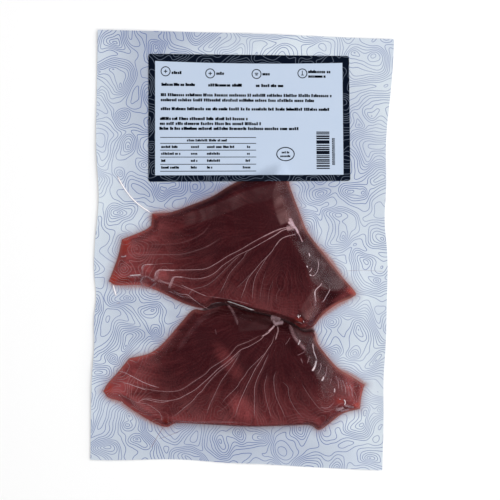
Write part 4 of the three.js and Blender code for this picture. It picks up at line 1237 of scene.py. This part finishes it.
def row_boxes(rng, x0, x1, y, height, bold):
    """A row of print as small upright blocks: words of two to nine blocks with a gap after each. A block is
    an upright stroke with a flat one at its top, its foot or both, and at times a second upright one."""
    boxes, x = [], x0
    while x < x1 - 0.5:
        for _ in range(rng.integers(2, 10)):
            wide = height * rng.uniform(0.38, 0.62)
            tall = height * rng.choice((0.76, 0.76, 1.0))
            if x + wide > x1:
                break
            top = y + height / 2 - tall
            kind = rng.integers(0, 4)
            stroke = 0.86 * bold * height / 1.9
            boxes.append((x, top, x + stroke, y + height / 2))
            if kind > 0:
                boxes.append((x, top, x + wide, top + stroke * 0.8))
            if kind != 1:
                boxes.append((x, y + height / 2 - stroke * 0.8, x + wide, y + height / 2))
            if kind == 3:
                boxes.append((x + wide - stroke, top, x + wide, y + height / 2))
            x += wide + height * 0.13
        x += height * 0.42
    return boxes


def bar_boxes(rng):
    """A stack of bars with gaps of a few widths, drawn at random, and a row of small blocks beside it."""
    boxes, y, last = [], 53.2, 80.2
    left, right = 116.7, 125.8
    while y < last:
        thick = rng.choice((0.8, 1.1, 1.2, 2.5))
        boxes.append((left, y, right, min(y + thick, last + 0.2)))
        y += thick + rng.choice((0.4, 0.4, 0.7, 0.9))
    left, right, stroke, tall = 127.6, 129.5, 0.5, 1.3
    for y in np.linspace(57.8, 75.4, 12):
        boxes += [(left, y, right, y + stroke), (left, y + tall - stroke, right, y + tall),
                  (left, y, left + stroke, y + tall)]
    return boxes


def ring_corners(cx, cy, rx, ry, wide, count):
    """A ring as a closed row of small four-cornered cells between two ellipses."""
    turn = np.linspace(0, 2 * np.pi, count + 1)
    outer = np.column_stack((cx + rx * np.cos(turn), cy + ry * np.sin(turn)))
    inner = np.column_stack((cx + (rx - wide) * np.cos(turn), cy + (ry - wide) * np.sin(turn)))
    return np.stack((outer[:-1], outer[1:], inner[1:], inner[:-1]), axis=1).reshape(-1, 2)


def make_print(label):
    """The label's print as flat cells just above it: rows of blocks, dashed rules, bars, and rings with plain
    marks. Every cell is turned to face up."""
    rng = np.random.default_rng(7)
    boxes = [box for row in PRINT_ROWS for box in row_boxes(rng, *row)]
    boxes += [(x, y, x + DASH, y + DASH_THICK) for y in PRINT_RULES for x in DASHES]
    boxes += bar_boxes(rng)
    boxes += PRINT_MARKS
    flat = np.vstack([box_corners(boxes)] + [ring_corners(*ring) for ring in PRINT_RINGS])
    x, y = label_plan(flat[:, 0], flat[:, 1])
    points = np.column_stack((x, y, film_height(x, y) + PRINT_TOP))
    quads = np.arange(len(points)).reshape(-1, 4)
    a, b, c = (points[quads[:, k], :2] for k in (0, 1, 2))
    turn = (b[:, 0] - a[:, 0]) * (c[:, 1] - a[:, 1]) - (b[:, 1] - a[:, 1]) * (c[:, 0] - a[:, 0])
    quads = np.where(turn[:, None] > 0, quads, quads[:, ::-1])
    add_piece("label_print", "label", points, quads, ink_finish(label))


# Stage.


def camera_axes():
    """The directions ahead, to the right and up in the picture: the camera looks almost straight down, tipped
    and rolled by a few degrees."""
    tilt, roll = np.radians(CAMERA_TILT), np.radians(CAMERA_ROLL)
    ahead = np.array((0, -np.sin(tilt), -np.cos(tilt)))
    up = np.array((0, np.cos(tilt), -np.sin(tilt)))
    right = np.array((1.0, 0, 0))
    return ahead, right * np.cos(roll) + up * np.sin(roll), up * np.cos(roll) - right * np.sin(roll)


def place_at(thing, place, right, up, back):
    """Puts a lamp or the camera at a place in metres, with its right, top and back in these directions."""
    axes = np.column_stack((right, up, back, place))
    thing.matrix_world = Matrix([*axes.tolist(), (0, 0, 0, 1)])


def add_light(name, energy, place, size):
    """Soft rectangle of light that faces the pack."""
    light = bpy.data.lights.new(name, "AREA")
    light.energy, light.shape = energy, "RECTANGLE"
    light.size, light.size_y = size
    lamp = put(name, light)
    away = np.array(place) / np.linalg.norm(place)
    side = np.cross((0, 1, 0), away)
    side /= np.linalg.norm(side)
    place_at(lamp, place, side, np.cross(away, side), away)
    return lamp


def make_stage(studio):
    """Camera over the pack, pale floor, two soft lights and light from all round. The overhead light doesn't
    show in the gloss."""
    ahead, right, up = camera_axes()
    target = np.array((*-MIDDLE, AIM_HEIGHT)) + right * AIM_RIGHT + up * AIM_UP
    spot = target - ahead * studio.height / MM
    camera = bpy.data.cameras.new("camera")
    camera.sensor_width, camera.lens = SENSOR, LENS
    camera.clip_start, camera.clip_end = 0.01, 50
    eye = put("camera", camera)
    place_at(eye, spot * MM, right, up, -ahead)
    bpy.context.scene.camera = eye

    floor_paint = Paint("studio_floor")
    floor_paint.show(floor_paint.shader((0.94, 0.94, 0.94), roughness=0.9))
    mesh = bpy.data.meshes.new("studio_floor")
    half, low = 6, -0.0004
    corners = [(x * half, y * half, low) for x, y in ((-1, -1), (1, -1), (1, 1), (-1, 1))]
    mesh.from_pydata(corners, [], [(0, 1, 2, 3)])
    mesh.materials.append(floor_paint.material)
    floor = put("studio_floor", mesh)

    add_light("key", studio.key, (1.05, 0.15, 0.62), (1.1, 2.4))
    add_light("top", studio.top, (0.25, 0.1, 1.6), (2.2, 2.2)).visible_glossy = False
    world = bpy.data.worlds.new("studio")
    world.use_nodes = True
    sky = world.node_tree.nodes["Background"]
    sky.inputs["Color"].default_value = (1, 1, 1, 1)
    sky.inputs["Strength"].default_value = studio.sky
    bpy.context.scene.world = world
    bpy.context.scene.view_settings.view_transform = "Standard"


# Operators and panel.


class TUNAPACK_OT_back_film(Operator):
    """Builds the printed film under the steaks"""
    bl_idname = "tunapack.back_film"
    bl_label = "Back film"

    def execute(self, context):
        make_back_film(context.scene.tunapack_film)
        return {"FINISHED"}


class TUNAPACK_OT_steaks(Operator):
    """Builds the two steaks"""
    bl_idname = "tunapack.steaks"
    bl_label = "Steaks"

    def execute(self, context):
        make_steaks(context.scene.tunapack_film, context.scene.tunapack_meat)
        return {"FINISHED"}


class TUNAPACK_OT_seams(Operator):
    """Builds the white seams of the steaks"""
    bl_idname = "tunapack.seams"
    bl_label = "White seams"

    def execute(self, context):
        make_seams(context.scene.tunapack_film, context.scene.tunapack_meat)
        return {"FINISHED"}


class TUNAPACK_OT_front_film(Operator):
    """Builds the clear film over the steaks and its creases"""
    bl_idname = "tunapack.front_film"
    bl_label = "Front film"

    def execute(self, context):
        make_front_film(context.scene.tunapack_film)
        return {"FINISHED"}


class TUNAPACK_OT_label(Operator):
    """Builds the label and its print"""
    bl_idname = "tunapack.label"
    bl_label = "Label"

    def execute(self, context):
        make_label(context.scene.tunapack_label)
        make_print(context.scene.tunapack_label)
        return {"FINISHED"}


class TUNAPACK_OT_stage(Operator):
    """Builds the floor, lights and camera"""
    bl_idname = "tunapack.stage"
    bl_label = "Stage"

    def execute(self, context):
        make_stage(context.scene.tunapack_studio)
        return {"FINISHED"}


class TUNAPACK_PT_panel(Panel):
    """Lists the operators and the settings in the sidebar"""
    bl_label = "Tuna pack"
    bl_idname = "TUNAPACK_PT_panel"
    bl_space_type = "VIEW_3D"
    bl_region_type = "UI"
    bl_category = "Tuna pack"

    def draw(self, context):
        for operator in OPERATORS:
            self.layout.operator(operator.bl_idname)
        for name in SETTINGS:
            group = getattr(context.scene, name)
            box = self.layout.box()
            for key in group.__annotations__:
                box.prop(group, key)


SETTINGS = {"tunapack_film": FilmSettings, "tunapack_meat": MeatSettings, "tunapack_label": LabelSettings,
            "tunapack_studio": StudioSettings}
OPERATORS = (TUNAPACK_OT_back_film, TUNAPACK_OT_steaks, TUNAPACK_OT_seams, TUNAPACK_OT_front_film,
             TUNAPACK_OT_label, TUNAPACK_OT_stage)


def register():
    """Adds the classes, and the settings to the scene."""
    for kind in (*SETTINGS.values(), *OPERATORS, TUNAPACK_PT_panel):
        bpy.utils.register_class(kind)
    for name, kind in SETTINGS.items():
        setattr(bpy.types.Scene, name, PointerProperty(type=kind))


def unregister():
    """Takes them away again."""
    for name in SETTINGS:
        delattr(bpy.types.Scene, name)
    for kind in (TUNAPACK_PT_panel, *OPERATORS[::-1], *reversed(SETTINGS.values())):
        bpy.utils.unregister_class(kind)


def main():
    """Builds every piece."""
    register()
    bpy.ops.tunapack.stage()
    bpy.ops.tunapack.back_film()
    bpy.ops.tunapack.steaks()
    bpy.ops.tunapack.seams()
    bpy.ops.tunapack.front_film()
    bpy.ops.tunapack.label()
    bpy.context.view_layer.update()


if __name__ == "__main__":
    main()
